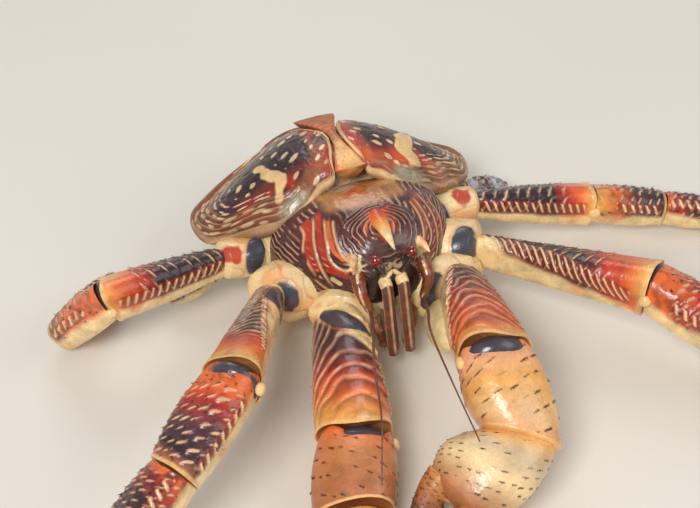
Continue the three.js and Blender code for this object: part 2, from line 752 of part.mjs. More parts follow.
// Cuts every part clear of those before it, with a thin gap between them.
const KEPT_OVERLAP = 0.005;
const boxesMeet = (a, b) =>
  [0, 1, 2].every((axis) => a.min[axis] < b.max[axis] && b.min[axis] < a.max[axis]);
const placed = [];
for (const part of parts) {
  const swollen = grown(part.shape, GAP);
  let shape = part.shape;
  for (const before of placed) {
    if (!boxesMeet(before.boundingBox(), shape.boundingBox())) continue;
    if (shape.intersect(before).volume() < KEPT_OVERLAP) continue;
    shape = shape.subtract(before);
  }
  part.shape = largest(shape).simplify(0.03);
  placed.push(swollen);
}

const crab = new THREE.Group();
crab.name = "coconut_crab";
const groups = {};
for (const { name, group, shape, finishName, pivot } of parts) {
  if (!groups[group]) {
    groups[group] = new THREE.Group();
    groups[group].position.copy(pivot);
    crab.add(groups[group]);
  }
  const geometry = geometryOf(shape).translate(-pivot.x, -pivot.y, -pivot.z);
  const mesh = new THREE.Mesh(geometry, FINISHES[finishName]);
  mesh.name = name;
  mesh.position.copy(pivot).sub(groups[group].position);
  groups[group].add(mesh);
}

export default crab;
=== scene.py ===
"""A coconut crab at life size: dressed surfaces, finishes and stage."""

import math

import bpy
import numpy as np
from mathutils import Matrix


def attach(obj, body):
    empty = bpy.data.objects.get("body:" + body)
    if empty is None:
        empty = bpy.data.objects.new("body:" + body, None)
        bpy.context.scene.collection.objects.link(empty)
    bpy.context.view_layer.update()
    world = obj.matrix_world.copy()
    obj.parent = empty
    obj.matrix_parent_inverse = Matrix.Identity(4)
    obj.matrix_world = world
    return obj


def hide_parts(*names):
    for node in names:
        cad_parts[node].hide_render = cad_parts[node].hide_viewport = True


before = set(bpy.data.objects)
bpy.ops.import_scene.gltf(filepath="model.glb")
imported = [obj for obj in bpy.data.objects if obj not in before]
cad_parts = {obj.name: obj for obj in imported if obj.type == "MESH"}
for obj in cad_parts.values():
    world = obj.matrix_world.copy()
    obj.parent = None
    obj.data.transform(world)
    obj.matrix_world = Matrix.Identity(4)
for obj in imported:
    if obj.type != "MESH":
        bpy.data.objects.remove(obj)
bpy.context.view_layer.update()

bl_info = {
    "name": "Coconut Crab",
    "version": (1, 0, 0),
    "blender": (4, 5, 0),
    "location": "3D View > Sidebar > Crab",
    "description": "Builds the shell, limbs, head and stage of a life-size coconut crab",
    "category": "Object",
}

MM = 0.001
# The lowest that a point may lie, and how deep bristles stand in the surface, in millimetres.
FLOOR = 0.02
ROOT_DEPTH = 0.2
UP = np.array([0.0, 0.0, 1.0])
SIDES = {"left": 1, "right": -1}


# Colour and field helpers


def in_degrees(name, description, angle):
    """An angle property whose default is given in degrees."""
    return bpy.props.FloatProperty(
        name=name, description=description, subtype="ANGLE", default=math.radians(angle),
    )


def watts(name, description, power_w):
    """A property for the power of a lamp."""
    return bpy.props.FloatProperty(
        name=name, description=description, subtype="POWER", min=0, default=power_w,
    )


def swatch(name, description, red, green, blue):
    """A colour property whose default is given as screen values from 0 to 255."""
    screen = np.array([red, green, blue]) / 255
    linear = np.where(screen <= 0.04045, screen / 12.92, ((screen + 0.055) / 1.055) ** 2.4)
    return bpy.props.FloatVectorProperty(
        name=name, description=description, subtype="COLOR", size=3, min=0, max=1,
        default=[float(v) for v in linear],
    )


def length(name, description, millimetres):
    """A length property whose default is given in millimetres."""
    return bpy.props.FloatProperty(
        name=name, description=description, subtype="DISTANCE", unit="LENGTH",
        min=0, default=millimetres * MM,
    )


def step(low, high, value):
    """Rises smoothly from 0 at low to 1 at high: 3t squared minus 2t cubed."""
    t = np.clip((value - low) / (high - low), 0, 1)
    return t * t * (3 - 2 * t)


def fall(low, high, value):
    """Falls smoothly from 1 at low to 0 at high."""
    return 1 - step(low, high, value)


def bell(value, width):
    """The exponential of minus the square of the value over the width: one in the middle."""
    return np.exp(-((value / width) ** 2))


def turned(angle):
    """An angle brought between minus half a turn and half a turn."""
    return (angle + math.pi) % (2 * math.pi) - math.pi


def mix(a, b, t):
    """Runs from a at share 0 to b at share 1."""
    return a + (b - a) * t


def over(base, coat, share):
    """Lays one colour over another by a share for each point."""
    return base + (np.asarray(coat) - base) * np.clip(share, 0, 1)[..., None]


def ramp(value, c, stops):
    """Colours that run through stops of (place, colour), where a colour may be a name."""
    places = [place for place, _ in stops]
    tones = np.array([c[tone] if isinstance(tone, str) else tone for _, tone in stops])
    return np.stack([np.interp(value, places, tones[:, k]) for k in range(3)], -1)


def hashed(cells, seed):
    """A repeatable value from 0 to 1 for each cell of whole coordinates."""
    c = cells.astype(np.int64).astype(np.uint32)
    n = c[..., 0] * np.uint32(73856093) ^ c[..., 1] * np.uint32(19349663)
    n = n ^ c[..., 2] * np.uint32(83492791) ^ np.uint32((seed * 2654435761) % 2**32)
    n = (n ^ (n >> np.uint32(15))) * np.uint32(2246822519)
    n = (n ^ (n >> np.uint32(13))) * np.uint32(3266489917)
    return (n ^ (n >> np.uint32(16))).astype(float) / 2**32


def noise(places, size, seed=0):
    """Cloudy values from -1 to 1: hashed values at the eight corners of the cube of that
    size around each point, blended smoothly by the point's place in the cube."""
    p = np.asarray(places, float) / size
    base = np.floor(p)
    f = p - base
    f = f * f * (3 - 2 * f)
    total = 0
    for corner in range(8):
        pick = np.array([(corner >> k) & 1 for k in range(3)])
        weight = np.prod(np.where(pick, f, 1 - f), axis=-1)
        total = total + weight * hashed(base + pick, seed)
    return 2 * total - 1


def scattered(u, v, seed, long=0.3, short=0.2, loose=0.3):
    """One oval to each unit cell of (u, v), moved at random by loose. Returns how far each
    point is from its nearest oval's middle, in half sizes of the oval, and its random value."""
    base = np.stack([np.floor(u), np.floor(v)], -1)
    best = np.full(np.shape(u), 9.0)
    chance = np.zeros(np.shape(u))
    for du in (-1, 0, 1):
        for dv in (-1, 0, 1):
            cell = base + [du, dv]
            key = np.concatenate([cell, np.full(cell.shape[:-1] + (1,), seed)], -1)
            a, b, c = (hashed(key, k + 1) for k in range(3))
            size = 0.75 + 0.5 * c
            x = (u - cell[..., 0] - 0.5 - loose * (2 * a - 1)) / (long * size)
            y = (v - cell[..., 1] - 0.5 - loose * (2 * b - 1)) / (short * size)
            far = np.hypot(x, y)
            near = far < best
            best = np.where(near, far, best)
            chance = np.where(near, c, chance)
    return best, chance


def folds(phase, crest=0.8):
    """Overlapping folds, one for each whole number of the phase: the height rises slowly to
    the crest and falls quickly. Returns the height and how much of the pale crest shows."""
    share = phase - np.floor(phase)
    height = step(0, crest, share) * fall(crest + 0.03, 1, share)
    return height, bell(share - crest, 0.11)


def near_path(places, points, count=80):
    """How far each place is from the nearest of many spots along a smooth curve."""
    line, _ = curve(points, np.linspace(0, 1, count))
    best = np.full(places.shape[:-1], 1e9)
    for spot in line:
        best = np.minimum(best, ((places - spot) ** 2).sum(-1))
    return np.sqrt(best)


def through(sizes, t):
    """Runs from the first to the last of three sizes through the middle one, by a quadratic."""
    start, middle, end = sizes
    pull = 2 * middle - (start + end) / 2
    return start * (1 - t) ** 2 + 2 * pull * t * (1 - t) + end * t**2


def power(value, exponent):
    """A power that keeps the sign of its base."""
    return np.sign(value) * np.abs(value) ** exponent


def unit(vector):
    """The same direction with length one."""
    return vector / np.linalg.norm(vector, axis=-1, keepdims=True)


def curve(points, t, closed=False):
    """Places and directions along a centripetal Catmull-Rom curve: in each span a cubic whose
    end slopes come from the neighbours, weighted by the square roots of the distances."""
    p = np.asarray(points, float)
    t = np.asarray(t, float)
    count = len(p)
    if closed:
        where = (t % 1) * count
        k = np.minimum(np.floor(where).astype(int), count - 1)
        a, b, c, d = (p[(k + j) % count] for j in (-1, 0, 1, 2))
    else:
        p = np.concatenate([[2 * p[0] - p[1]], p, [2 * p[-1] - p[-2]]])
        where = np.clip(t, 0, 1) * (count - 1)
        k = np.minimum(np.floor(where).astype(int), count - 2)
        a, b, c, d = (p[k + j] for j in range(4))
    w = (where - k)[..., None]
    pairs = ((a, b), (b, c), (c, d))
    g0, g1, g2 = (np.linalg.norm(n - m, axis=-1, keepdims=True) ** 0.5 for m, n in pairs)
    s1 = ((b - a) / g0 - (c - a) / (g0 + g1) + (c - b) / g1) * g1
    s2 = ((c - b) / g1 - (d - b) / (g1 + g2) + (d - c) / g2) * g1
    q2 = -3 * b + 3 * c - 2 * s1 - s2
    q3 = 2 * b - 2 * c + s1 + s2
    return b + s1 * w + q2 * w**2 + q3 * w**3, unit(s1 + 2 * q2 * w + 3 * q3 * w**2 + 1e-9)


def outward(places):
    """Directions away from a tube-like grid of rows: the cross product of its two tangents,
    turned away from each row's middle."""
    along = np.gradient(places, axis=0)
    around = np.roll(places, -1, 1) - np.roll(places, 1, 1)
    normal = np.cross(around, along)
    normal = normal / (np.linalg.norm(normal, axis=-1, keepdims=True) + 1e-9)
    away = places - places.mean(1, keepdims=True)
    return normal * (1 if (normal * away).sum() > 0 else -1)


# Closed surfaces and meshes


def skin(places, tint, gloss):
    """A closed surface from rows of points that each run once round the piece. Rows are
    joined by four-sided faces, and both ends are closed by fans round their middles."""
    rows, around = places.shape[:2]
    count = rows * around
    points = np.concatenate([places.reshape(-1, 3), places[:1].mean(1), places[-1:].mean(1)])
    tint = np.broadcast_to(tint, places.shape)
    gloss = np.broadcast_to(gloss, places.shape[:2])
    tints = np.concatenate([tint.reshape(-1, 3), tint[:1].mean(1), tint[-1:].mean(1)])
    glosses = np.concatenate([gloss.ravel(), [gloss[0].mean(), gloss[-1].mean()]])
    index = np.arange(count).reshape(rows, around)
    beside = np.roll(index, -1, axis=1)
    quads = np.stack([index[:-1], beside[:-1], beside[1:], index[1:]], -1).reshape(-1, 4)
    first = np.stack([np.full(around, count), beside[0], index[0]], -1)
    last = np.stack([np.full(around, count + 1), index[-1], beside[-1]], -1)
    tris = np.concatenate([first, last])
    corners = np.concatenate([quads[:, [0, 1, 2]], quads[:, [0, 2, 3]], tris])
    a, b, c = (points[corners[:, k]] - points[0] for k in range(3))
    if (a * np.cross(b, c)).sum() < 0:
        quads, tris = quads[:, ::-1], tris[:, ::-1]
    return {"points": points, "quads": quads, "tris": tris, "tint": tints, "gloss": glosses}


def bristles(roots, lean, size, width, tint):
    """Small three-sided spikes: each has three corners round its root and one at its tip,
    so that all of them together are four points and four triangles each."""
    count = len(roots)
    side = unit(np.cross(lean, [0.31, 0.52, 0.79]))
    other = np.cross(unit(lean), side)
    width = np.broadcast_to(width, count)[:, None]
    corners = [
        roots + width * (math.cos(a) * side + math.sin(a) * other)
        for a in (0, 2 * math.pi / 3, 4 * math.pi / 3)
    ]
    tips = roots + unit(lean) * np.broadcast_to(size, count)[:, None]
    points = np.stack([*corners, tips], 1).reshape(-1, 3)
    faces = np.array([[0, 1, 3], [1, 2, 3], [2, 0, 3], [0, 2, 1]])
    tris = (np.arange(count)[:, None, None] * 4 + faces).reshape(-1, 3)
    tints = np.broadcast_to(tint, (len(points), 3))
    empty = np.zeros((0, 4), int)
    return {"points": points, "quads": empty, "tris": tris, "tint": tints,
            "gloss": np.full(len(points), 0.4)}


def piece(name, skins, material, slot, *nodes):
    """Puts closed surfaces, given in millimetres, into one mesh in metres that rides on the
    body, with their colours and gloss as attributes, and stands for CAD nodes."""
    points, faces4, faces3, start = [], [], [], 0
    for one in skins:
        points.append(one["points"])
        faces4.append(one["quads"] + start)
        faces3.append(one["tris"] + start)
        start += len(one["points"])
    co = np.concatenate(points)
    co[:, 2] = np.maximum(co[:, 2], FLOOR)
    quads, tris = np.concatenate(faces4), np.concatenate(faces3)
    tint = np.clip(np.concatenate([one["tint"] for one in skins]), 0, 1)
    gloss = np.clip(np.concatenate([one["gloss"] for one in skins]), 0, 1)
    if not np.isfinite(co).all() or not np.isfinite(tint).all():
        raise RuntimeError(name + " holds a value that isn't a number")
    mesh = bpy.data.meshes.new(name)
    mesh.vertices.add(len(co))
    mesh.vertices.foreach_set("co", (co * MM).astype(np.float32).ravel())
    mesh.loops.add(quads.size + tris.size)
    corners = np.concatenate([quads.ravel(), tris.ravel()]).astype(np.int32)
    mesh.loops.foreach_set("vertex_index", corners)
    sizes = np.concatenate([np.full(len(quads), 4), np.full(len(tris), 3)])
    mesh.polygons.add(len(sizes))
    starts = np.concatenate([[0], np.cumsum(sizes)[:-1]]).astype(np.int32)
    mesh.polygons.foreach_set("loop_start", starts)
    mesh.polygons.foreach_set("use_smooth", np.ones(len(sizes), bool))
    mesh.update(calc_edges=True)
    colour = mesh.attributes.new("tint", "FLOAT_COLOR", "POINT")
    opaque = np.concatenate([tint, np.ones((len(tint), 1))], 1)
    colour.data.foreach_set("color", opaque.astype(np.float32).ravel())
    shine = mesh.attributes.new("gloss", "FLOAT", "POINT")
    shine.data.foreach_set("value", gloss.astype(np.float32))
    mesh.materials.append(material)
    made = bpy.data.objects.new(name, mesh)
    bpy.context.scene.collection.objects.link(made)
    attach(made, "root")
    if nodes:
        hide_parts(*nodes)
    return made


def ball(centre, axes, radii, tint, gloss, rows=24, around=36):
    """An ellipsoid: rows of circles whose size is the sine of the angle from one pole."""
    polar = np.linspace(0.06, math.pi - 0.06, rows)[:, None]
    turn = np.linspace(0, 2 * math.pi, around, endpoint=False)[None]
    a, b, c = (np.asarray(axis)[None, None] for axis in axes)
    places = centre + (
        a * (radii[0] * np.cos(polar) + 0 * turn)[..., None]
        + b * (radii[1] * np.sin(polar) * np.cos(turn))[..., None]
        + c * (radii[2] * np.sin(polar) * np.sin(turn))[..., None]
    )
    return skin(places, tint, gloss)


def bar_grid(points, wide, high, rows, around, hint=UP, lift=None):
    """Rings along a curve: each is an oval with half sizes wide(t) and high(t), across the
    curve and the hint. Returns the places, the share travelled and the angle round."""
    t = np.linspace(0, 1, rows)
    angle = np.linspace(0, 2 * math.pi, around, endpoint=False)
    centre, axis = curve(points, t)
    ahead = unit(np.cross(axis, hint))
    up = unit(np.cross(ahead, axis))
    t2, a2 = np.meshgrid(t, angle, indexing="ij")
    size = 1 if lift is None else lift(t2, a2)
    places = (
        centre[:, None]
        + ahead[:, None] * (wide(t2) * np.cos(a2) * size)[..., None]
        + up[:, None] * (high(t2) * np.sin(a2) * size)[..., None]
    )
    return places, t2, a2


def mirrored(place, side):
    """A place of the left half as it is, or moved to the right half when the side is -1."""
    return np.array([place[0] * side, place[1], place[2]], float)


def mirrored_all(places, side):
    """Several places, each mirrored as one is."""
    return [mirrored(place, side) for place in places]


def spots_on(places, chosen):
    """The chosen points of a grid, and the directions away from it there."""
    return places.reshape(-1, 3)[chosen], outward(places).reshape(-1, 3)[chosen]


# Finishes


# How far a full bump stands out, in metres.
BUMP_REACH = 0.0004


def finish(name, rough, coat=0.0, coat_rough=0.15, grain=900.0, grain_depth=0.25, cloud=60.0,
           cloud_share=0.25, pits=0.0, pit_scale=500.0):
    """A shell-like material: the painted colour, darkened and lightened by two noises, with
    roughness from the painted gloss, and fine grain and pits as bump."""
    found = bpy.data.materials.get(name)
    if found:
        return found
    material = bpy.data.materials.new(name)
    material.use_nodes = True
    tree = material.node_tree
    nodes, links = tree.nodes, tree.links
    nodes.clear()
    out = nodes.new("ShaderNodeOutputMaterial")
    shader = nodes.new("ShaderNodeBsdfPrincipled")
    links.new(shader.outputs["BSDF"], out.inputs["Surface"])
    where = nodes.new("ShaderNodeTexCoord")
    turning = nodes.new("ShaderNodeMapping")
    turning.inputs["Rotation"].default_value = (0.3, 0.2, 0.7)
    links.new(where.outputs["Object"], turning.inputs["Vector"])
    tint = nodes.new("ShaderNodeAttribute")
    tint.attribute_name = "tint"
    gloss = nodes.new("ShaderNodeAttribute")
    gloss.attribute_name = "gloss"

    def noise_node(scale, detail, roughness):
        made = nodes.new("ShaderNodeTexNoise")
        made.inputs["Scale"].default_value = scale
        made.inputs["Detail"].default_value = detail
        made.inputs["Roughness"].default_value = roughness
        links.new(turning.outputs["Vector"], made.inputs["Vector"])
        return made

    def range_node(source, low, high, to_low, to_high):
        made = nodes.new("ShaderNodeMapRange")
        made.inputs["From Min"].default_value = low
        made.inputs["From Max"].default_value = high
        made.inputs["To Min"].default_value = to_low
        made.inputs["To Max"].default_value = to_high
        links.new(source, made.inputs["Value"])
        return made

    clouds = noise_node(cloud, 3, 0.6)
    fine = noise_node(grain, 2, 0.7)
    stain = range_node(clouds.outputs["Fac"], 0.3, 0.7, 1 - cloud_share, 1 + cloud_share)
    speck = range_node(fine.outputs["Fac"], 0.3, 0.7, 0.9, 1.1)
    both = nodes.new("ShaderNodeMath")
    both.operation = "MULTIPLY"
    links.new(stain.outputs["Result"], both.inputs[0])
    links.new(speck.outputs["Result"], both.inputs[1])
    scaled = nodes.new("ShaderNodeVectorMath")
    scaled.operation = "SCALE"
    links.new(tint.outputs["Color"], scaled.inputs[0])
    links.new(both.outputs["Value"], scaled.inputs["Scale"])
    links.new(scaled.outputs["Vector"], shader.inputs["Base Color"])
    low, high = rough
    base = range_node(gloss.outputs["Fac"], 0, 1, high, low)
    vary = range_node(clouds.outputs["Fac"], 0.3, 0.7, -0.06, 0.06)
    total = nodes.new("ShaderNodeMath")
    total.operation = "ADD"
    total.use_clamp = True
    links.new(base.outputs["Result"], total.inputs[0])
    links.new(vary.outputs["Result"], total.inputs[1])
    links.new(total.outputs["Value"], shader.inputs["Roughness"])
    bump = nodes.new("ShaderNodeBump")
    bump.inputs["Strength"].default_value = grain_depth
    bump.inputs["Distance"].default_value = BUMP_REACH
    links.new(fine.outputs["Fac"], bump.inputs["Height"])
    last = bump
    if pits:
        holes = nodes.new("ShaderNodeTexVoronoi")
        holes.inputs["Scale"].default_value = pit_scale
        links.new(turning.outputs["Vector"], holes.inputs["Vector"])
        dip = range_node(holes.outputs["Distance"], 0.05, 0.35, 0, 1)
        last = nodes.new("ShaderNodeBump")
        last.inputs["Strength"].default_value = pits
        last.inputs["Distance"].default_value = BUMP_REACH
        links.new(dip.outputs["Result"], last.inputs["Height"])
        links.new(bump.outputs["Normal"], last.inputs["Normal"])
    links.new(last.outputs["Normal"], shader.inputs["Normal"])
    shader.inputs["Coat Weight"].default_value = coat
    shader.inputs["Coat Roughness"].default_value = coat_rough
    return material


def material_for(kind):
    """The finish of each kind of surface on the crab."""
    table = {
        "shell": dict(rough=(0.2, 0.5), coat=0.35, coat_rough=0.18, pits=0.15, pit_scale=700),
        "lobe": dict(rough=(0.22, 0.55), coat=0.3, coat_rough=0.2, pits=0.2, pit_scale=600),
        "heart": dict(rough=(0.28, 0.55), coat=0.2, coat_rough=0.25, pits=0.35, pit_scale=300),
        "ivory": dict(rough=(0.25, 0.55), coat=0.25, coat_rough=0.2, cloud=90, cloud_share=0.12,
                      pits=0.15, pit_scale=350),
        "limb": dict(rough=(0.22, 0.5), coat=0.35, coat_rough=0.16, cloud=110, pits=0.2, pit_scale=450),
        "claw": dict(rough=(0.26, 0.5), coat=0.3, coat_rough=0.2, cloud=80, cloud_share=0.18,
                     pits=0.2, pit_scale=400),
        "horn": dict(rough=(0.25, 0.5), coat=0.2, cloud=140, pits=0.1),
        "tail": dict(rough=(0.35, 0.65), coat=0.1, cloud=80, pits=0.25, pit_scale=350),
        "belly": dict(rough=(0.4, 0.7), cloud=70, grain=500, grain_depth=0.5, pits=0.3, pit_scale=260),
        "eye": dict(rough=(0.04, 0.12), coat=1.0, coat_rough=0.03, grain_depth=0.02, cloud_share=0.1),
        "stalk": dict(rough=(0.15, 0.4), coat=0.6, coat_rough=0.1, cloud=200),
        "feeler": dict(rough=(0.15, 0.45), coat=0.5, coat_rough=0.12, cloud=200),
        "mouth": dict(rough=(0.35, 0.7), cloud=200, grain_depth=0.5, pits=0.3),
        "whip": dict(rough=(0.3, 0.5), coat=0.2, cloud=200),
        "small_leg": dict(rough=(0.25, 0.55), coat=0.3, cloud=160),
    }
    return finish("crab_" + kind, **table[kind])


# Sizes and colours a user may change


class CrabSizes(bpy.types.PropertyGroup):
    facet: length("Facet", "Spacing of the mesh points on limbs", 0.6)
    shell_facet: length("Shell facet", "Spacing of the mesh points on the back", 0.45)
    ripple: length("Ripple height", "How far the ripples of the head shield stand up", 0.7)
    ripple_gap: length("Ripple spacing", "From one ripple of the head shield to the next", 3.4)
    fold: length("Fold height", "How far the folds of the upper limbs stand up", 0.9)
    fold_gap: length("Fold spacing", "From one fold of an upper limb to the next", 6.2)
    terrace: length("Terrace height", "How far the rim lines of the gill lobes stand up", 0.5)
    knee_gap: length("Knee gap", "Width of the bare crescent on top of a knee", 4.4)
    bristle: length("Bristle length", "Length of the longest bristles", 2.6)


class CrabColours(bpy.types.PropertyGroup):
    shell: swatch("Shell", "Dark ground of the head shield", 92, 40, 34)
    # Night is also used as painted shade in the troughs of limb folds and belly wrinkles.
    night: swatch("Night", "Darkest purple brown of lobes and limbs", 52, 29, 30)
    plum: swatch("Plum", "Purple patches behind the eyes and on limbs", 86, 48, 52)
    ripple: swatch("Ripple", "Pale lines on the head shield", 226, 168, 134)
    red: swatch("Red", "Red bands", 186, 50, 26)
    orange: swatch("Orange", "Orange bands and the beak's root", 226, 104, 44)
    amber: swatch("Amber", "Yellow orange towards the knees", 238, 172, 88)
    cream: swatch("Cream", "Spots, combs and the beak", 240, 206, 150)
    ivory: swatch("Ivory", "Roots of the legs", 248, 226, 168)
    lilac: swatch("Lilac", "Pinkish ridges on the flanks", 208, 158, 142)
    slate: swatch("Slate", "Bare skin in knees and hips", 66, 66, 74)
    olive: swatch("Olive", "Smooth grey-green front of the lobes", 152, 138, 108)
    tan: swatch("Tan", "Brown orange rear of the heart plate", 176, 106, 62)
    # Soot is also used as painted shade in the troughs of the shield's ripples and the lobes' rim lines.
    soot: swatch("Soot", "Bristles and dashes", 44, 24, 18)
    horn: swatch("Horn", "Fingers and claw tips", 104, 78, 62)
    eye: swatch("Eye", "Dark red eyes", 120, 20, 14)
    stalk: swatch("Stalk", "Eye stalks", 40, 34, 36)
    frost: swatch("Frost", "Bluish white of the small legs", 172, 184, 192)
    floor: swatch("Floor", "Pale floor", 226, 220, 208)


class CrabStage(bpy.types.PropertyGroup):
    lens: bpy.props.FloatProperty(
        name="Lens", description="Focal length in millimetres on a 36 mm frame", min=10, default=86.5,
    )
    camera: bpy.props.FloatVectorProperty(
        name="Camera", description="Where the camera stands", subtype="TRANSLATION", unit="LENGTH",
        default=(-0.2588, -0.7227, 0.6918),
    )
    azimuth: in_degrees("Azimuth", "Turn of the camera round the crab", -21)
    elevation: in_degrees("Elevation", "Height of the camera as an angle", 43)
    key: watts("Key light", "Power of the main light", 18)
    fill: watts("Fill light", "Power of the light on the other side", 4.5)
    rim: watts("Rim light", "Power of the light from behind", 5)
    sky: bpy.props.FloatProperty(
        name="Sky", description="Strength of the even light", min=0, default=0.38,
    )


def colours():
    """All colours as arrays, by name."""
    group = bpy.context.scene.crab_colours
    return {name: np.array(getattr(group, name)) for name in CrabColours.__annotations__}


def sizes():
    """All sizes in millimetres, by name."""
    group = bpy.context.scene.crab_sizes
    return {name: getattr(group, name) / MM for name in CrabSizes.__annotations__}


# The head shield

# Stations of the shield from rear to front: y, half width, height of the top and of the edge.
SHIELD = [
    (-47, 46, 73, 44), (-57, 52, 77.5, 41), (-70, 51, 81.5, 39), (-84, 46, 82.5, 38),
    (-96, 37, 80, 37), (-105, 27, 75.5, 37), (-111, 18, 68, 39),
]
# Lengths in millimetres that set how many rows and columns the shield's grid has: about its run
# from rear to front, and somewhat more than its widest arch.
SHIELD_RUN, SHIELD_ARCH = 72, 178


def shield_grid(facet):
    """Rows from the back of the shield to its face. Each is half a rounded oval over a shallow
    one, with x the half width times cosine, z the edge plus the height times sine, both raised
    to 0.86, and a low swelling in the middle. The last rows shrink into a shallow dome."""
    rows = int(SHIELD_RUN / facet)
    t = np.concatenate([np.zeros(5), np.linspace(0, 1, rows), np.ones(14)])
    dome = np.linspace(0.12, 1.45, 14)
    shrink = np.concatenate([[0.2, 0.5, 0.8, 0.93, 0.98], np.ones(rows), np.cos(dome)])
    push = np.concatenate([[3, 3, 2, 0.8, 0.2], np.zeros(rows), -2.8 * np.sin(dome)])
    over_top = np.linspace(0, math.pi, int(SHIELD_ARCH / facet))
    below = np.linspace(math.pi, 2 * math.pi, 50)[1:-1]
    angle = np.concatenate([over_top, below])
    station, _ = curve(np.array(SHIELD, float), t)
    y, half, top, edge = (station[:, k][:, None] for k in range(4))
    a = angle[None]
    x = half * power(np.cos(a), 0.86)
    tall = np.where(np.sin(a) > 0, top - edge, 2.0)
    z = edge + tall * power(np.sin(a), 0.86)
    bump = np.exp(-((x / 25) ** 4) - ((y + 80) / 27) ** 4)
    z = z + 2.6 * (bump - 0.5) * np.maximum(0, np.sin(a))
    middle = (top + edge) / 2
    x = x * shrink[:, None]
    z = middle + (z - middle) * shrink[:, None]
    y = y + push[:, None] + 0 * x
    return np.stack([x, y, z], -1), a + 0 * x, shrink[:, None] + 0 * x


def blob(x, y, cx, cy, rx, ry):
    """A soft oval patch: one in the middle, falling off as the fourth power of distance."""
    return np.exp(-((((x - cx) / rx) ** 2 + ((y - cy) / ry) ** 2) ** 2))


# Long pale lines and coloured bands of the right cheek; the left cheek mirrors them.
CHEEK_LINES = [
    [(-38, -70, 70.5), (-37.7, -76.3, 69.1), (-40.4, -82, 63.8), (-39.9, -87.3, 59.6), (-37, -92.5, 54)],
    [(-31, -70, 75.5), (-32.1, -76.3, 73.6), (-34.9, -84.7, 69.1), (-35, -92.2, 61.9),
     (-33.5, -96.7, 56.5), (-30, -100.5, 50.5)],
    [(-26.5, -76, 78.5), (-27.5, -82, 75.9), (-29.4, -89.8, 71.5), (-29.6, -96.7, 64.5),
     (-25.3, -102.4, 61.7), (-20.7, -105.6, 62.8)],
    [(-23, -82, 79), (-24.3, -87.3, 76.8), (-25, -93.4, 73.2), (-23.7, -99.7, 68.8), (-20.8, -104.1, 65.9)],
    [(-38, -94.5, 51), (-34, -99, 48), (-29, -103.5, 45.5), (-24, -107, 45)],
]
CHEEK_BANDS = [
    ("red", 2.6, [(-35, -71, 73), (-36, -79, 69.8), (-38, -86, 64.5), (-36.8, -92, 58.5)]),
    ("red", 2.0, [(-28.5, -70, 77.5), (-30.2, -80, 74.5), (-32.2, -88, 69.5), (-31.8, -95, 62.5)]),
    ("orange", 1.5, [(-25, -80, 78), (-27, -88, 74.5), (-27, -95, 69.5), (-24, -100, 67)]),
    ("red", 2.3, [(-31, -97.5, 60.5), (-28, -101, 59.8), (-23.5, -104.8, 59.2)]),
    ("cream", 1.5, [(-30.2, -101, 54.8), (-27, -103.5, 53.2)]),
]


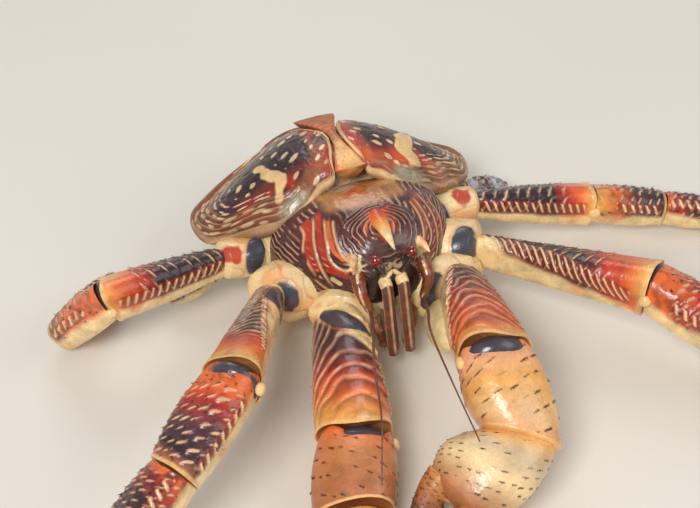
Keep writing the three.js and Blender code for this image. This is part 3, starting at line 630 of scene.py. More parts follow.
def dress_shield(c, s):
    """Round the beak's root, ripples are folds of an oval distance bent by noise. On the
    cheeks they are folds of the arc length up from the side margin, finer towards it, with
    a few long lines and coloured bands between them."""
    places, angle, shrink = shield_grid(s["shell_facet"])
    x, y, z = places[..., 0], places[..., 1], places[..., 2]
    n1, n2, n3 = noise(places, 12, 3), noise(places, 4.5, 4), noise(places, 2, 9)
    gap = s["ripple_gap"]
    fore = np.where(y > -96, 1.7 * (y + 96), y + 96)
    oval = np.sqrt((x + 1) ** 2 + fore**2 + (0.9 * (z - 82)) ** 2) + 2.4 * n1 + 0.9 * n2
    disc = fall(23.5, 26.5, oval - 1.5 * n1)
    height1, crest1 = folds(oval / gap + 0.2, 0.72)
    broken1 = step(-0.45, -0.1, n2 + 0.7 * noise(places, 7, 7))
    arc = 40 * np.minimum(angle, np.pi - angle)
    grow = gap / 3.4
    counts = [0, 5.2 / grow, 10.6 / grow, 20.5 / grow]
    phase2 = np.interp(arc, [0, 8, 25, 63], counts) + 0.45 * n1 + 0.2 * n2
    height2, crest2 = folds(phase2, 0.72)
    cloud = noise(places, 6, 8) + 0.35 * n2 + 0.25 * (arc < 8) + 0.3 * (x > 0) * (arc > 20)
    broken2 = step(-0.3, 0.05, cloud)
    face = fall(0.97, 1.0, shrink)
    beneath = fall(0, 0.02, np.sin(angle))
    rear = step(-85, -77, y - 0.014 * x**2) * fall(20, 27, np.abs(x))
    eyes = np.maximum(blob(x, y, 8, -105.5, 6.5, 4.5), blob(x, y, -8, -105.5, 7.5, 4.5))
    smooth = np.maximum.reduce([0.85 * rear, eyes, blob(x, y, 0, -101, 5, 8), face, beneath])
    lines = np.full(x.shape, 99.0)
    for points in CHEEK_LINES:
        for side in (1, -1):
            lines = np.minimum(lines, near_path(places, mirrored_all(points, side)))
    long_line = bell(lines, 0.85) * step(-0.75, -0.5, n2)
    plain = np.maximum(long_line, 1 - step(2.0, 3.2, lines))
    zone = step(24, 27, arc) * step(23.5, 26.5, oval - 1.5 * n1) * (y < -68)
    amount1 = disc * broken1 * (1 - smooth)
    amount2 = (1 - disc) * broken2 * (1 - smooth) * (1 - plain) * (1 - 0.8 * zone * (x < 0))
    height = height1 * amount1 + height2 * amount2
    crest = np.maximum(crest1 * amount1, crest2 * amount2)
    fine = fall(8, 11, arc)
    lift = s["ripple"] * (height - 0.35 * (amount1 + amount2)) * (1 - 0.5 * fine)
    lift = lift + 0.75 * s["ripple"] * long_line
    lift = lift * (1 - beneath) + 0.12 * n3
    normal = outward(places)
    tint = over(c["shell"], c["night"], 0.75 * step(-0.5, 0.4, n1 + 0.4 * n2))
    tint = over(tint, c["plum"], 0.5 * disc * step(-0.2, 0.6, n2))
    tint = over(tint, c["soot"], 0.6 * fall(10, 24, arc))
    for name, wide, points in CHEEK_BANDS:
        near = near_path(places, points) + 0.7 * n2
        other = near_path(places, mirrored_all(points, -1)) + 0.7 * n2
        tint = over(tint, c[name], 0.92 * fall(wide * 0.75, wide * 1.25, near))
        paler = mix(c[name], c["shell"], 0.45)
        tint = over(tint, paler, 0.7 * fall(wide * 0.75, wide * 1.25, other))
    beige = mix(c["tan"], c["amber"], 0.45)
    tint = over(tint, beige, rear * (0.75 + 0.25 * n1))
    patches = np.maximum(blob(x, y, -4, -66, 10, 9), blob(x, y, 3, -86, 8, 4))
    tint = over(tint, c["red"], 0.8 * patches * step(-0.6, 0.2, n1 + n2))
    flare = bell(oval - 7, 5.5) * step(-0.3, 0.4, n2)
    tint = over(tint, c["orange"], 0.85 * np.maximum(flare * disc * (x < 9), blob(x, y, 0, -91, 7, 6)))
    tint = over(tint, mix(c["plum"], c["olive"], 0.12), 0.9 * eyes)
    shade = 0.75 * (1 - height1) * amount1 + 0.6 * (1 - height2) * amount2 * (1 - 0.5 * zone)
    tint = over(tint, c["soot"], shade)
    line = over(c["ripple"], c["orange"], 0.35 * step(0, 0.7, n2))
    tint = over(tint, line, crest * (0.8 + 0.2 * n3))
    tint = over(tint, c["red"], 0.5 * step(0.86, 1, x / -40) * crest * (arc > 25))
    tint = over(tint, mix(c["ripple"], c["amber"], 0.4), long_line)
    star = np.hypot(np.hypot(np.abs(x) - 18.8, y + 106.3), 0.8 * (z - 65))
    turn = np.arctan2(z - 65, np.abs(x) - 18.8)
    rays = step(0.1, 0.8, np.sin(turn * 9 + 3 * noise(places, 8, 16)))
    spot = fall(2.4, 4.2 + 4 * rays, star)
    tint = over(tint, mix(c["cream"], c["ivory"], 0.5), spot * np.where(x < 0, 1, 0.6))
    ground = ramp(z, c, [(39, "night"), (52, "soot"), (60, "stalk"), (66, "plum"), (72, "olive")])
    tint = over(tint, ground, 0.9 * face * (np.abs(x) < 16))
    gloss = 0.75 + 0.2 * smooth - 0.3 * crest
    places = places + normal * lift[..., None]
    skins = [skin(places, tint, gloss)]
    beak = [(0, -86, 80.5), (0, -100, 81.5), (0, -115.3, 79.8)]
    wide = lambda t: mix(7.2, 0.5, t**0.9)
    high = lambda t: mix(4.4, 0.5, t) * 0.85
    keel = lambda t, a: 1 + 0.16 * bell(a - math.pi / 2, 0.35)
    grid, share, _ = bar_grid(beak, wide, high, 60, 48, lift=keel)
    stops = [(0, "red"), (0.25, "orange"), (0.48, "amber"), (0.65, "cream"), (1, "cream")]
    worn = 0.5 * step(0.1, 0.7, noise(grid, 2.5, 21)) * share
    skins.append(skin(grid, over(ramp(share, c, stops), c["olive"], worn), 0.7))
    size = lambda t: mix(4.5, 0.4, t)
    for side in (1, -1):
        spine = mirrored_all([(18, -99, 67), (20.5, -106, 69), (22, -112.3, 68.2)], side)
        grid, _, _ = bar_grid(spine, size, size, 30, 28, hint=np.array([0.3, 0.2, 1]))
        tone = over(c["cream"], c["orange"], 0.6 * step(0.4, -0.5, noise(grid, 3, 22)))
        skins.append(skin(grid, tone, 0.7))
    piece("head_shield", skins, material_for("shell"), "shell", "shield")


# The gill lobes and the plate between them

# The rim of the left lobe, seen from above against the clock, as places in millimetres.
LOBE_RIM = [
    (10.5, -51, 78), (18, -51.5, 72), (29, -57, 66), (43, -58, 60), (57, -50, 50), (70, -40, 42),
    (82, -31, 39), (86, -19, 41), (83, -7, 42), (73, 3, 42), (57, 14, 43), (38, 21, 48),
    (21, 20, 58), (12.5, 6, 73), (7, -8, 82), (3.8, -20, 87), (4.2, -29, 88), (7.5, -41, 85),
]
CROWN = (26, -28)
# Lengths in millimetres that set how many points a lobe's grid has along its rim and out from
# its crown. The first is also the measure of the marks along the rim.
RIM_RUN, RIM_REACH = 265, 95


def arch_height(x, y):
    """The arched back: 90 at its crest line, falling with the distance from the middle to the
    power 1.6 and with the square of the distance fore and aft."""
    across = 43 * (np.abs(x) / 84) ** 1.6
    along = np.where(y < -30, (-30 - y) / 14, (y + 30) / (11.4 - 0.058 * np.abs(x)))
    return 90 - across - along**2


def dress_lobe(name, side, c, s):
    """Rings from the crown to the rim: a point lies on the line from the crown to the rim in
    plan, and its height goes from the rim's to the arch by the root of one minus the share
    to the fifth. Spots are scattered ovals, and the rim carries stepped lines."""
    around = int(RIM_RUN / s["shell_facet"] / 1.15)
    rings = int(RIM_REACH / s["shell_facet"] / 1.25)
    share = np.sin(np.linspace(0.012, math.pi / 2, rings))
    share = np.concatenate([share, np.full(12, 1.0)])
    under = np.concatenate([np.full(rings, 1.0), np.linspace(0.985, 0.12, 12)])
    turn = np.linspace(0, 1, around, endpoint=False)
    rim, _ = curve(LOBE_RIM, turn, closed=True)
    rx, ry, rz = (rim[None, :, k] for k in range(3))
    inner = (share * under)[:, None]
    x, y = mix(CROWN[0], rx, inner), mix(CROWN[1], ry, inner)
    top = mix(rz, arch_height(x, y), np.sqrt(np.maximum(0, 1 - inner**5)))
    beneath = rz - 9 * (1 - inner**2)
    is_under = (under < 1)[:, None]
    z = np.where(is_under, beneath, top)
    places = np.stack([x + 0 * z, y + 0 * z, z], -1)
    span = np.hypot(rx - CROWN[0], ry - CROWN[1])
    edge = (1 - inner) * span
    run = turn[None] * RIM_RUN
    flat = np.stack([x, y, np.full_like(x, side * 31.0)], -1)
    n1, n2, n3 = noise(flat, 11, 31), noise(flat, 4.5, 32), noise(flat, 1.8, 33)
    outer = step(38, 52, x - 0.25 * y) * fall(20, 24, edge)
    band = fall(9, 15, edge + 3 * n1)
    medial = fall(4, 14, x - 4)
    front = bell(y + 44 - 0.02 * x, 6.5) * fall(56, 70, x)
    lines = step(0.4, 0.8, np.maximum(outer, 1 - step(2.5, 5, edge)))
    height, crest = folds((edge + 0.06 * run + 1.2 * n1) / 2.7)
    rim_line = lines * band
    along_u = 0.77 * x - 0.64 * y
    across_v = 0.64 * x + 0.77 * y
    d1, r1 = scattered(along_u / 10.2 + 0.2 * n1, across_v / 7.4 + 0.15 * n1, 5 + side, 0.25, 0.18, 0.26)
    d2, _ = scattered((run + 0.5 * edge) / 9, (edge + 1.5 * n1) / 4.0, 9 + side, 0.42, 0.2, 0.22)
    chain = np.array([(45, -19), (41, -29), (37, -36), (41.5, -46)], float)
    near = np.full(x.shape, 99.0)
    for a, b in zip(chain[:-1], chain[1:]):
        go = b - a
        w = np.clip(((x - a[0]) * go[0] + (y - a[1]) * go[1]) / (go @ go), 0, 1)
        near = np.minimum(near, np.hypot(x - a[0] - w * go[0], y - a[1] - w * go[1]))
    soft = 0.25 * n2
    spots = fall(0.75, 1.15, d1 + soft) * fall(0.1, 0.4, outer)
    spots = spots * step(0.1, 0.3, r1) * step(5, 6.5, near)
    streaks = fall(0.7, 1.2, d2 + soft) * step(0.25, 0.6, outer)
    streaks = streaks * step(1.5, 3.5, edge) * fall(17, 20, edge) * step(5.5, 8, near + 1.5 * n2)
    blotch = fall(-0.6, 0.6, near - 3.6 - 2.3 * n1 - 1.2 * n2)
    patch = blob(x, y, 34.5, -53.5, 10, 4.4)
    pale = np.maximum.reduce([spots, streaks, blotch])
    lift = 0.4 * pale - 0.25 * (1 - pale) * step(0.1, 0.6, n2)
    lift = lift + s["terrace"] * height * rim_line * (1 - patch)
    lift = lift + 0.15 * n3 - 0.6 * bell(edge - 8.5, 0.7) * outer
    lift = np.where(is_under, 0, lift) * step(0, 0.05, 1 - inner + 0.02)
    ground = over(c["night"], c["plum"], 0.4 * step(-0.2, 0.8, n1))
    ground = over(ground, c["soot"], 0.5 * step(0.0, 0.7, n2))
    redness = np.maximum(0.9 * medial * step(-60, -30, -y) * fall(5, 18, y), 0.95 * front)
    ground = over(ground, c["red"], redness * step(-0.55, 0.25, n1 + 0.4 * n2 + 0.2))
    ground = over(ground, c["orange"], 0.55 * front * step(0.15, 0.6, n1))
    ground = over(ground, c["tan"], 0.55 * band * (1 - outer) * (1 - medial) + 0.4 * outer * band)
    tint = over(ground, mix(c["cream"], c["lilac"], 0.35), 0.92 * np.maximum(spots, streaks))
    tint = over(tint, mix(c["cream"], c["amber"], 0.3), 0.95 * blotch)
    tint = over(tint, mix(c["tan"], c["cream"], 0.45), 0.6 * crest * rim_line)
    # Painted shade: soot laid into the low part of each stepped rim line.
    tint = over(tint, c["soot"], 0.5 * (1 - height) * rim_line * 0.6)
    tint = over(tint, c["olive"], 0.9 * patch)
    tint = over(tint, c["cream"], 0.8 * fall(0.3, 1.3, np.abs(edge - 1.0)) * (1 - 0.6 * outer))
    tint = np.where(is_under[..., None], mix(c["tan"], c["night"], 0.5), tint)
    gloss = 0.7 - 0.25 * pale + 0.25 * patch
    places = places * [side, 1, 1]
    normal = outward(places)
    flip = np.where((normal[..., 2] < 0) & ~is_under, -1, 1)[..., None]
    places = places + normal * flip * lift[..., None]
    piece(name, [skin(places, tint, gloss)], material_for("lobe"), "lobe", "gill_" + name)


def dress_heart_plate(c):
    """Rows from front to rear across the plate between the lobes: a shallow arch over a
    rounded belly, with half widths along a curve through its stations."""
    stations = [(-50.5, 9.6), (-41, 6.6), (-30, 3.2), (-19, 2.8), (-8, 6), (4, 10.4), (12, 12.5)]
    t = np.linspace(0, 1, 150)
    line, _ = curve([(y, half, 0) for y, half in stations], t)
    y, half = line[:, 0][:, None], line[:, 1][:, None]
    top_share = np.linspace(-1, 1, 61)[None]
    top = arch_height(0, y) - 0.5 - 1.1 * top_share**2
    upper = np.stack([top_share * half, y + 0 * top, top], -1)
    low_share = np.linspace(1, -1, 20)[None, 1:-1]
    low = arch_height(0, y) - 1.7 - 8 * (1 - low_share**2)
    lower = np.stack([low_share * half, y + 0 * low, low], -1)
    places = np.concatenate([upper, lower], 1)
    x, yy = places[..., 0], places[..., 1]
    share = np.abs(x) / half
    n1, n2 = noise(places, 7, 41), noise(places, 2.4, 42)
    line_h, crest = folds((np.hypot(x, yy + 62) + n1) / 4.5)
    rear = step(-32, -20, yy)
    tint = over(mix(c["amber"], c["cream"], 0.35), c["orange"], 0.35 * step(0, 0.8, n1))
    edge_red = step(0.72, 0.95, share + 0.1 * n2) * (1 - rear)
    tint = over(tint, c["red"], 0.85 * edge_red)
    dots, _ = scattered(x / 3.4, yy / 3.4, 6, 0.1, 0.1, 0.35)
    tint = over(tint, c["tan"], 0.7 * fall(0.8, 1.5, dots) * (1 - rear))
    tint = over(tint, mix(c["tan"], c["orange"], 0.25), rear)
    tint = over(tint, c["shell"], 0.6 * rear * step(0, 0.7, n1) + 0.5 * rear * crest)
    lift = 0.35 * line_h * rear + 0.15 * n2 - 0.25 * fall(0.6, 1.2, dots) * (1 - rear)
    normal = outward(places)
    places = places + normal * np.where(normal[..., 2] > 0.2, lift, 0)[..., None]
    plate = [skin(places, tint, 0.55 - 0.2 * rear)]
    piece("heart_shield", plate, material_for("heart"), "heart", "heart_plate")


# Limbs

# The angle of the front edge that carries the comb, and the comb's height over the half width.
COMB_ANGLE, COMB_HEIGHT = math.radians(48), 0.13
# Each piece of a limb: length, half widths and half heights at its start, middle and end,
# whether it carries a comb, how far its three edges stand out as a share of its size, and its
# roll in degrees. A dactyl has one half width, at its root.
LIMBS = {
    "claw": {
        "merus": (80, (13, 17.5, 20), (14, 18, 19), True, 0.09, 14),
        "carpus": (47, (18, 22, 20), (16, 21, 19), False, 0.05, 0),
        "palm": (44, (16, 25, 20), (15, 21, 15), False, 0.03, 0),
        "finger": (40, None, None, False, 0, 0),
    },
    "front_leg": {
        "merus": (104, (8.5, 12, 15.5), (9, 12, 15.5), True, 0.12, 10),
        "carpus": (58, (14.5, 16.5, 13.5), (14, 15, 13), True, 0.09, 10),
        "propodus": (66, (13, 14, 8.5), (12.5, 13.5, 8.5), True, 0.08, 10),
        "dactyl": (46, 7.2, None, False, 0, 0),
    },
    "rear_leg": {
        "merus": (74, (7, 10.5, 12), (8, 11.5, 12.5), True, 0.12, 10),
        "carpus": (46, (11.5, 12.5, 10.5), (11, 11.5, 10), True, 0.09, 10),
        "propodus": (48, (9.5, 10, 6.5), (9.5, 10, 6.5), True, 0.08, 10),
        "dactyl": (40, 5.6, None, False, 0, 0),
    },
    "small_leg": {
        "arm": (48, (6, 8.5, 6), (6, 8, 6), False, 0.06, 0),
        "claw": (28, (5.5, 7.5, 2.2), (5.5, 7, 1.8), False, 0.04, 0),
    },
}
# Half widths and half heights of the hips, and where each limb leaves the body on the left.
COXA = {
    "claw": ((15, 19, 17), (14, 18, 17)),
    "front_leg": ((15, 18.5, 15.5), (14, 18, 16)),
    "rear_leg": ((13, 13.5, 10.5), (13, 13, 11)),
}
SOCKETS = {"claw": (14, -92, 30), "front_leg": (20, -71, 32), "rear_leg": (22, -46, 33)}
# Where each limb's hip ends, then the heading and pitch of each further piece in degrees. A pitch
# of None brings the tip down to the floor.
POSE = {
    ("claw", "right"): ((-29, -109, 32), ((14.5, -4.3), (22, -13), (5, -6), (-8, None))),
    ("claw", "left"): ((40, -112, 36), ((-11, 17.5), (-3, -27), (-72, -20), (-60, None))),
    ("front_leg", "right"): ((-60, -85, 38), ((29.4, 20.8), (50, -14), (70, -36), (76, None))),
    ("front_leg", "left"): ((60, -90, 39), ((46.6, 4.5), (37, -14), (44, -20), (46, None))),
    ("rear_leg", "right"): ((-77, -49, 40), ((75.8, 8.5), (138, -51), (228, -8), (260, None))),
    ("rear_leg", "left"): ((77, -49, 34), ((79, -7.8), (75, -10), (66, -6), (66, None))),
    ("small_leg", "right"): ((-38, -20, 29), ((70, -11), (77, -17))),
    ("small_leg", "left"): ((38, -21, 26), ((86, -5), (94, -12))),
}
# The size of the right claw's palm and fingers as a share of the left claw's.
RIGHT_CLAW = 0.84


def joint_places(limb, side_name):
    """Where the joints stand: each next one lies a piece's length away by its heading from
    straight ahead and its pitch above level; the last piece of a leg comes down to the floor."""
    side = SIDES[side_name]
    hip, aims = POSE[limb, side_name]
    places = [np.array(hip, float)]
    if limb in SOCKETS:
        places.insert(0, mirrored(SOCKETS[limb], side))
    for (part, spec), (heading, pitch) in zip(LIMBS[limb].items(), aims):
        long = spec[0] * (RIGHT_CLAW if side < 0 and limb == "claw" and part in ("palm", "finger") else 1)
        rise = -math.asin(min(1, places[-1][2] / long)) if pitch is None else math.radians(pitch)
        turn = math.radians(heading)
        level = math.cos(rise)
        run = np.array([side * math.sin(turn) * level, -math.cos(turn) * level, math.sin(rise)])
        places.append(places[-1] + run * long)
    return places


def joint_planes(places):
    """The plane at each joint halves the bend there."""
    axes = [unit(b - a) for a, b in zip(places[:-1], places[1:])]
    last = len(axes) - 1
    return [unit(axes[max(0, k - 1)] + axes[min(last, k)]) for k in range(len(places))]


def axes_across(axis, side, roll=0):
    """Two axes across a limb piece: ahead towards the head or the middle, and up its back."""
    ahead = unit(np.cross(axis, UP) * side)
    up = unit(np.cross(ahead, axis) * side)
    turn = math.radians(roll)
    return ahead * math.cos(turn) + up * math.sin(turn), up * math.cos(turn) - ahead * math.sin(turn)


def lean_of(plane, axis):
    """How far a joint plane leans away from square to the axis, held below 0.7."""
    lean = plane / (axis @ plane) - axis
    size = np.linalg.norm(lean)
    return lean * min(1, 0.7 / size) if size > 0 else lean


class LimbForm:
    """One piece of a limb between two joint planes, as a function of the share along it and
    the angle round it. The offset from the axis is a rounded triangle of quadratic half sizes,
    and each ring slides along the axis with its offset so that the ends follow the planes."""

    def __init__(self, start, end, start_plane, end_plane, side, wide, high, edge, comb=False,
                 roll=0):
        self.start, self.long = start, np.linalg.norm(end - start)
        self.axis = unit(end - start)
        self.ahead, self.up = axes_across(self.axis, side, roll)
        self.leans = lean_of(start_plane, self.axis), lean_of(end_plane, self.axis)
        self.wide, self.high, self.edge, self.comb = wide, high, edge, comb

    def girth(self):
        """About how far it is round the piece at its widest."""
        return math.pi * (max(self.wide) + max(self.high))

    def place(self, t, angle, lift=0, shrink=1, shift=0):
        away = turned(angle - COMB_ANGLE)
        size = (1 + self.edge * np.cos(3 * away)) * shrink
        w = through(self.wide, t) * size
        h = through(self.high, t) * size
        radius = np.hypot(w * np.cos(angle), h * np.sin(angle)) + 1e-6
        w, h = w * (1 + lift / radius), h * (1 + lift / radius)
        offset = self.ahead * (w * np.cos(angle))[..., None]
        offset = offset + self.up * (h * np.sin(angle))[..., None]
        slide = -((1 - t) ** 1.5) * (offset @ self.leans[0]) - t**1.5 * (offset @ self.leans[1])
        along = mix(0.2, self.long - 0.2, t) + slide + shift
        return self.start + self.axis * along[..., None] + offset


# The rows that close an end, as share of the size and shift along: sunk in, or a rounded dome.
CAP_IN = np.array([[0.3, 4.0], [0.62, 3.6], [0.85, 2.6], [0.92, 1.0], [0.97, 0.15]])
CAP_DOME = np.array([[0.25, -4.4], [0.5, -3.9], [0.72, -2.9], [0.88, -1.5], [0.96, -0.4]])


def limb_skins(form, look, c, s, seed):
    """The dressed surface of a limb piece. Its back carries long folds or short broken crests,
    its front edge a row of leaning teeth, and both may carry dark dashes; each end has a notch
    on top, and below the comb and behind the flank the surface turns pale. Here t is the share
    along the piece, and q the angle from the top of its back, below zero towards the head."""
    rows = max(24, int(form.long / s["facet"]))
    cols = max(36, int(form.girth() / s["facet"]))
    round_end = look.get("round_end", False)
    last = CAP_DOME if round_end else CAP_IN
    t = np.concatenate([np.zeros(len(CAP_IN)), np.linspace(0, 1, rows), np.ones(len(last))])[:, None]
    shrink = np.concatenate([CAP_IN[:, 0], np.ones(rows), last[::-1, 0]])[:, None]
    cap_shift = np.concatenate([CAP_IN[:, 1], np.zeros(rows), -last[::-1, 1]])[:, None]
    angle = np.linspace(0, 2 * math.pi, cols, endpoint=False)[None]
    t, angle = t + 0 * angle, angle + 0 * t
    q = turned(angle - math.pi / 2)
    rest = form.place(t, angle)
    along = t * form.long
    radius = through(form.wide, t)
    across = q * radius
    n1, n2, n3 = noise(rest, 9, seed), noise(rest, 3.4, seed + 1), noise(rest, 1.5, seed + 2)
    comb_line = mix(*look.get("comb_at", (COMB_ANGLE - math.pi / 2,) * 2), t)
    pale_from = comb_line - look["pale_gap"] if "pale_gap" in look else look.get("pale_from", -1.25)
    pale_back = look.get("pale_back", 1.9)
    back = step(pale_from - 0.22, pale_from + 0.22, q + 0.15 * n1)
    back = back * fall(pale_back, pale_back + 0.5, q + 0.2 * n1)
    ends = step(0, 0.04, t) * fall(0.955, 0.985, t)
    lift = 0.1 * n3
    # Long folds
    phase = along / look.get("gap", s["fold_gap"])
    phase = phase - look.get("slant", 2.2) * np.maximum(0, q) ** 1.5
    phase = phase - look.get("fore_slant", 0.35) * np.maximum(0, -q) ** 2
    phase = phase + look.get("wave", 0.3) * n1
    height, crest = folds(phase, 0.82)
    start, stop = look.get("fold_from", 0.0), look.get("fold_to", 0.8)
    reach = step(start - 0.05, start + 0.05, t) * fall(stop - 0.1, stop + 0.08, t)
    flank = step(0.9, 1.3, q) * fall(2.2, 2.7, q)
    amount = reach * np.maximum(back, flank) * look.get("fold", 0) * ends
    broken = 0.55 + 0.45 * step(-0.35, 0.15, n2 + 0.5 * n1)
    lift = lift + s["fold"] * (height - 0.35) * amount * (1 - 0.35 * step(0.9, 1.7, q))
    # Short crests
    short = np.zeros_like(t)
    if look.get("crests"):
        wide, long, lean, half, thin, begin, end = look["crests"]
        column = np.floor(across / wide)
        line = (along - lean * across) / long + 0.5 * (column % 2)
        d, _ = scattered(across / wide, line, seed + 5, half / wide, thin / long, 0.14)
        reach = step(begin - 0.03, begin + 0.03, t) * fall(end - 0.06, end, t)
        kept = step(-0.9, -0.6, n1) * reach * back * ends
        short = fall(0.7, 1.25, d) * kept
        lift = lift + s["fold"] * look.get("crest_height", 0.6) * fall(0.4, 2.4, d) * kept
    # Comb of teeth
    tooth, valley = np.zeros_like(t), np.zeros_like(t)
    if form.comb:
        tooth_gap, lean, fore, aft, share_wide = look.get("comb", (4.7, 0.55, 5.0, 2.6, 0.2))
        begin, end = look.get("comb_from", 0.02), look.get("comb_to", 0.93)
        away = (q - comb_line) * radius
        count = round(form.long / tooth_gap)
        share = ((along + lean * away) / form.long * count + 0.1 * n1) % 1
        reach = np.where(away < 0, fall(fore * 0.6, fore, -away), fall(aft * 0.5, aft, away))
        fade = step(begin, begin + 0.05, t) * fall(end - 0.04, end + 0.02, t)
        tooth = bell(share - 0.5, share_wide) * reach * fade
        valley = (1 - tooth) * fall(fore * 0.9, fore * 1.25, -away) * (away < aft) * fade
        lift = lift + COMB_HEIGHT * radius * (0.35 * bell(away, 4) + 0.5 * tooth) * fade
    # Dark dashes with a low lip
    dash = np.zeros_like(t)
    if look.get("dash"):
        line = (along + look.get("dash_slant", 0.35) * across) / look.get("dash_gap", 5.2)
        column = across / look.get("dash_wide", 5.4) + 0.5 * (np.floor(line) % 2)
        half, thin = look.get("dash_long", 0.27), look.get("dash_thin", 0.07)
        d, chance = scattered(column, line, seed + 3, half, thin, 0.13)
        kept = step(0.04, 0.1, t) * fall(0.95, 0.98, t) * step(0.25, 0.4, chance)
        kept = kept * np.maximum(back, look.get("dash_under", 0))
        dash = fall(0.6, 1.2, d + 0.3 * n3) * kept
        lip = 0.4 * fall(0.8, 2.2, d) * (dash < 0.5) + 0.15 * dash
        lift = lift + look["dash"] * lip * kept
    # Notches on top of the ends, and the rim at the far end
    turn = np.clip((q - look.get("notch_at", 0)) / look.get("notch_arc", 1.25), -1, 1)
    arc = 0.5 + 0.5 * np.cos(math.pi * turn)
    shift = cap_shift - look.get("notch", 0) * arc * step(0.72, 1, t)
    shift = shift + look.get("start_notch", 0) * arc * fall(0, 0.25, t)
    rim = step(0.955, 0.975, t) * (shrink > 0.9) * look.get("rim", 1)
    lift = lift + 0.5 * rim
    # Colours
    tint = ramp(np.clip(t + 0.05 * n1 + look.get("tone_slant", 0.03) * q, 0, 1), c, look["stops"])
    dark = look.get("dark", 0.6) * fall(0.5, 0.8, t)
    tint = over(tint, c["night"], dark * step(-0.1, 0.6, n2 + 0.4 * n1))
    tint = over(tint, c["lilac"], look.get("flank", 0.3) * step(0.7, 1.4, q) * fall(0.5, 0.8, t))
    # Painted shade: night laid into the troughs between the long folds.
    tint = over(tint, c["night"], 0.6 * (1 - height) * amount)
    strength = look.get("pale", 0.85) * (1 - 0.5 * step(0.6, 0.85, t))
    shown = strength * crest * np.minimum(1, 1.2 * amount) * broken
    tint = over(tint, mix(c["ripple"], c["cream"], 0.35), shown)
    tint = over(tint, mix(c["ripple"], c["cream"], 0.3), 0.85 * short)
    under = mix(c["ivory"], c["amber"], look.get("warm", 0.25))
    under = over(under, c["orange"], 0.35 * step(0.0, 0.8, n1))
    tint = over(tint, under, (1 - back) * look.get("under", 0.95))
    tint = over(tint, c["red"], 0.55 * valley * (1 - back))
    tint = over(tint, mix(c["red"], c["night"], 0.5), 0.65 * valley * back)
    tint = over(tint, mix(c["cream"], c["ripple"], 0.25), 0.95 * step(0.35, 0.75, tooth))
    tint = over(tint, c["soot"], 0.9 * dash)
    tint = over(tint, mix(c["amber"], c["cream"], 0.4), 0.75 * rim)
    inside = (shrink < 0.95) & ((t < 0.5) | (not round_end))
    tint = over(tint, c["tan"], 0.7 * inside * look.get("rim", 1))
    if "ivory_to" in look:
        behind, before = look["ivory_to"]
        border = mix(behind, before, np.clip(0.5 - q / 2, 0, 1))
        root = fall(-0.03, 0.03, t + 0.03 * n1 - border)
        tint = over(tint, under, root * (np.abs(q) < 2.2))
    bed = form.place(t, angle, 0, shrink, shift)
    if "lumps" in look:
        swell, vein = noise(bed, 16, seed + 6), noise(bed, 12, seed + 7)
        crease = fall(0.02, 0.13, np.abs(vein))
        lift = lift + look["lumps"] * (swell - 0.45 * crease)
        hollow = 0.55 * step(0.1, 0.75, -swell + 0.4 * n1)
        tint = over(tint, mix(c["amber"], c["orange"], 0.6), hollow)
        # Painted shade: tan orange laid into the sunken creases between the lumps.
        tint = over(tint, mix(c["tan"], c["orange"], 0.4), 0.5 * crease * step(-0.3, 0.4, n1))
    if "blush" in look:
        at, turn = look["blush"]
        glow = np.exp(-(((t - at) / 0.1) ** 2) - ((q - turn) / 0.55) ** 2)
        tint = over(tint, c["red"], 0.95 * step(0.25, 0.5, glow + 0.2 * n2))
    gloss = 0.7 + 0.1 * n1 - 0.25 * np.maximum(crest * amount, short)
    if "bare" in look:
        half, *points = look["bare"]
        spots, _ = curve(points, np.linspace(0, 1, 40))
        grow = np.sin(np.linspace(0.12, 0.95, 40) * math.pi) ** 0.6
        ways = [np.linalg.norm(bed - spot, axis=-1) / (half * g) for spot, g in zip(spots, grow)]
        far = np.min(ways, axis=0) + 0.05 * n2
        bare = fall(0.88, 1.0, far)
        ring = bell(far - 1.08, 0.12)
        lift = lift * (1 - bare) + 1.5 * np.sqrt(np.maximum(0, 1 - far**2)) + 0.5 * ring
        tint = over(tint, over(c["slate"], c["plum"], 0.6 * step(0, 0.8, n1)), bare)
        tint = over(tint, mix(c["tan"], c["orange"], 0.3), 0.45 * ring * (1 - bare))
        gloss = gloss + 0.3 * bare
    places = form.place(t, angle, lift, shrink, shift)
    skins = [skin(places, tint, gloss)]
    if look.get("bristles"):
        rng = np.random.default_rng(seed)
        bed_of_hairs = dash if dash.max() > 0.5 else np.maximum(crest * amount, short)
        weight = bed_of_hairs * (t > 0.04) * (t < 0.98) * (shrink > 0.99)
        chosen = np.flatnonzero(weight.ravel() > 0.6)
        if len(chosen):
            count = min(len(chosen), look["bristles"])
            chosen = rng.choice(chosen, count, replace=False)
            spots, normal = spots_on(places, chosen)
            lean = unit(0.75 * normal + 0.8 * form.axis + 0.2 * rng.normal(size=(count, 3)))
            size = s["bristle"] * look.get("bristle_size", 1) * (0.5 + 0.5 * rng.random(count))
            width = 0.16 + 0.08 * rng.random(count)
            skins.append(bristles(spots - ROOT_DEPTH * normal, lean, size, width, c["soot"]))
    return skins


def knee_skins(form, look, c):
    """The bare skin at the end of a piece, as a ball a little smaller than the limb, and the
    two rounded cream knobs that the joint turns on."""
    w, h = form.wide[2], form.high[2]
    plane = unit(form.axis + form.leans[1])
    centre = form.start + form.axis * (form.long + look.get("knee_shift", 0))
    across = unit(form.ahead - plane * (form.ahead @ plane))
    axes = (plane, across, np.cross(across, plane))
    skin_tone, knob_tone = mix(c["slate"], c["plum"], 0.2), mix(c["cream"], c["amber"], 0.35)
    made = [ball(centre - form.up * h * 0.03, axes, (0.5 * w, 0.86 * w, 0.88 * h), skin_tone, 0.95)]
    for way in (1, -1):
        place = centre + across * way * w * 0.93 - form.up * h * 0.1
        made.append(ball(place, axes, (3.6, 2.5, 3.4), knob_tone, 0.7, 16, 24))
    return made


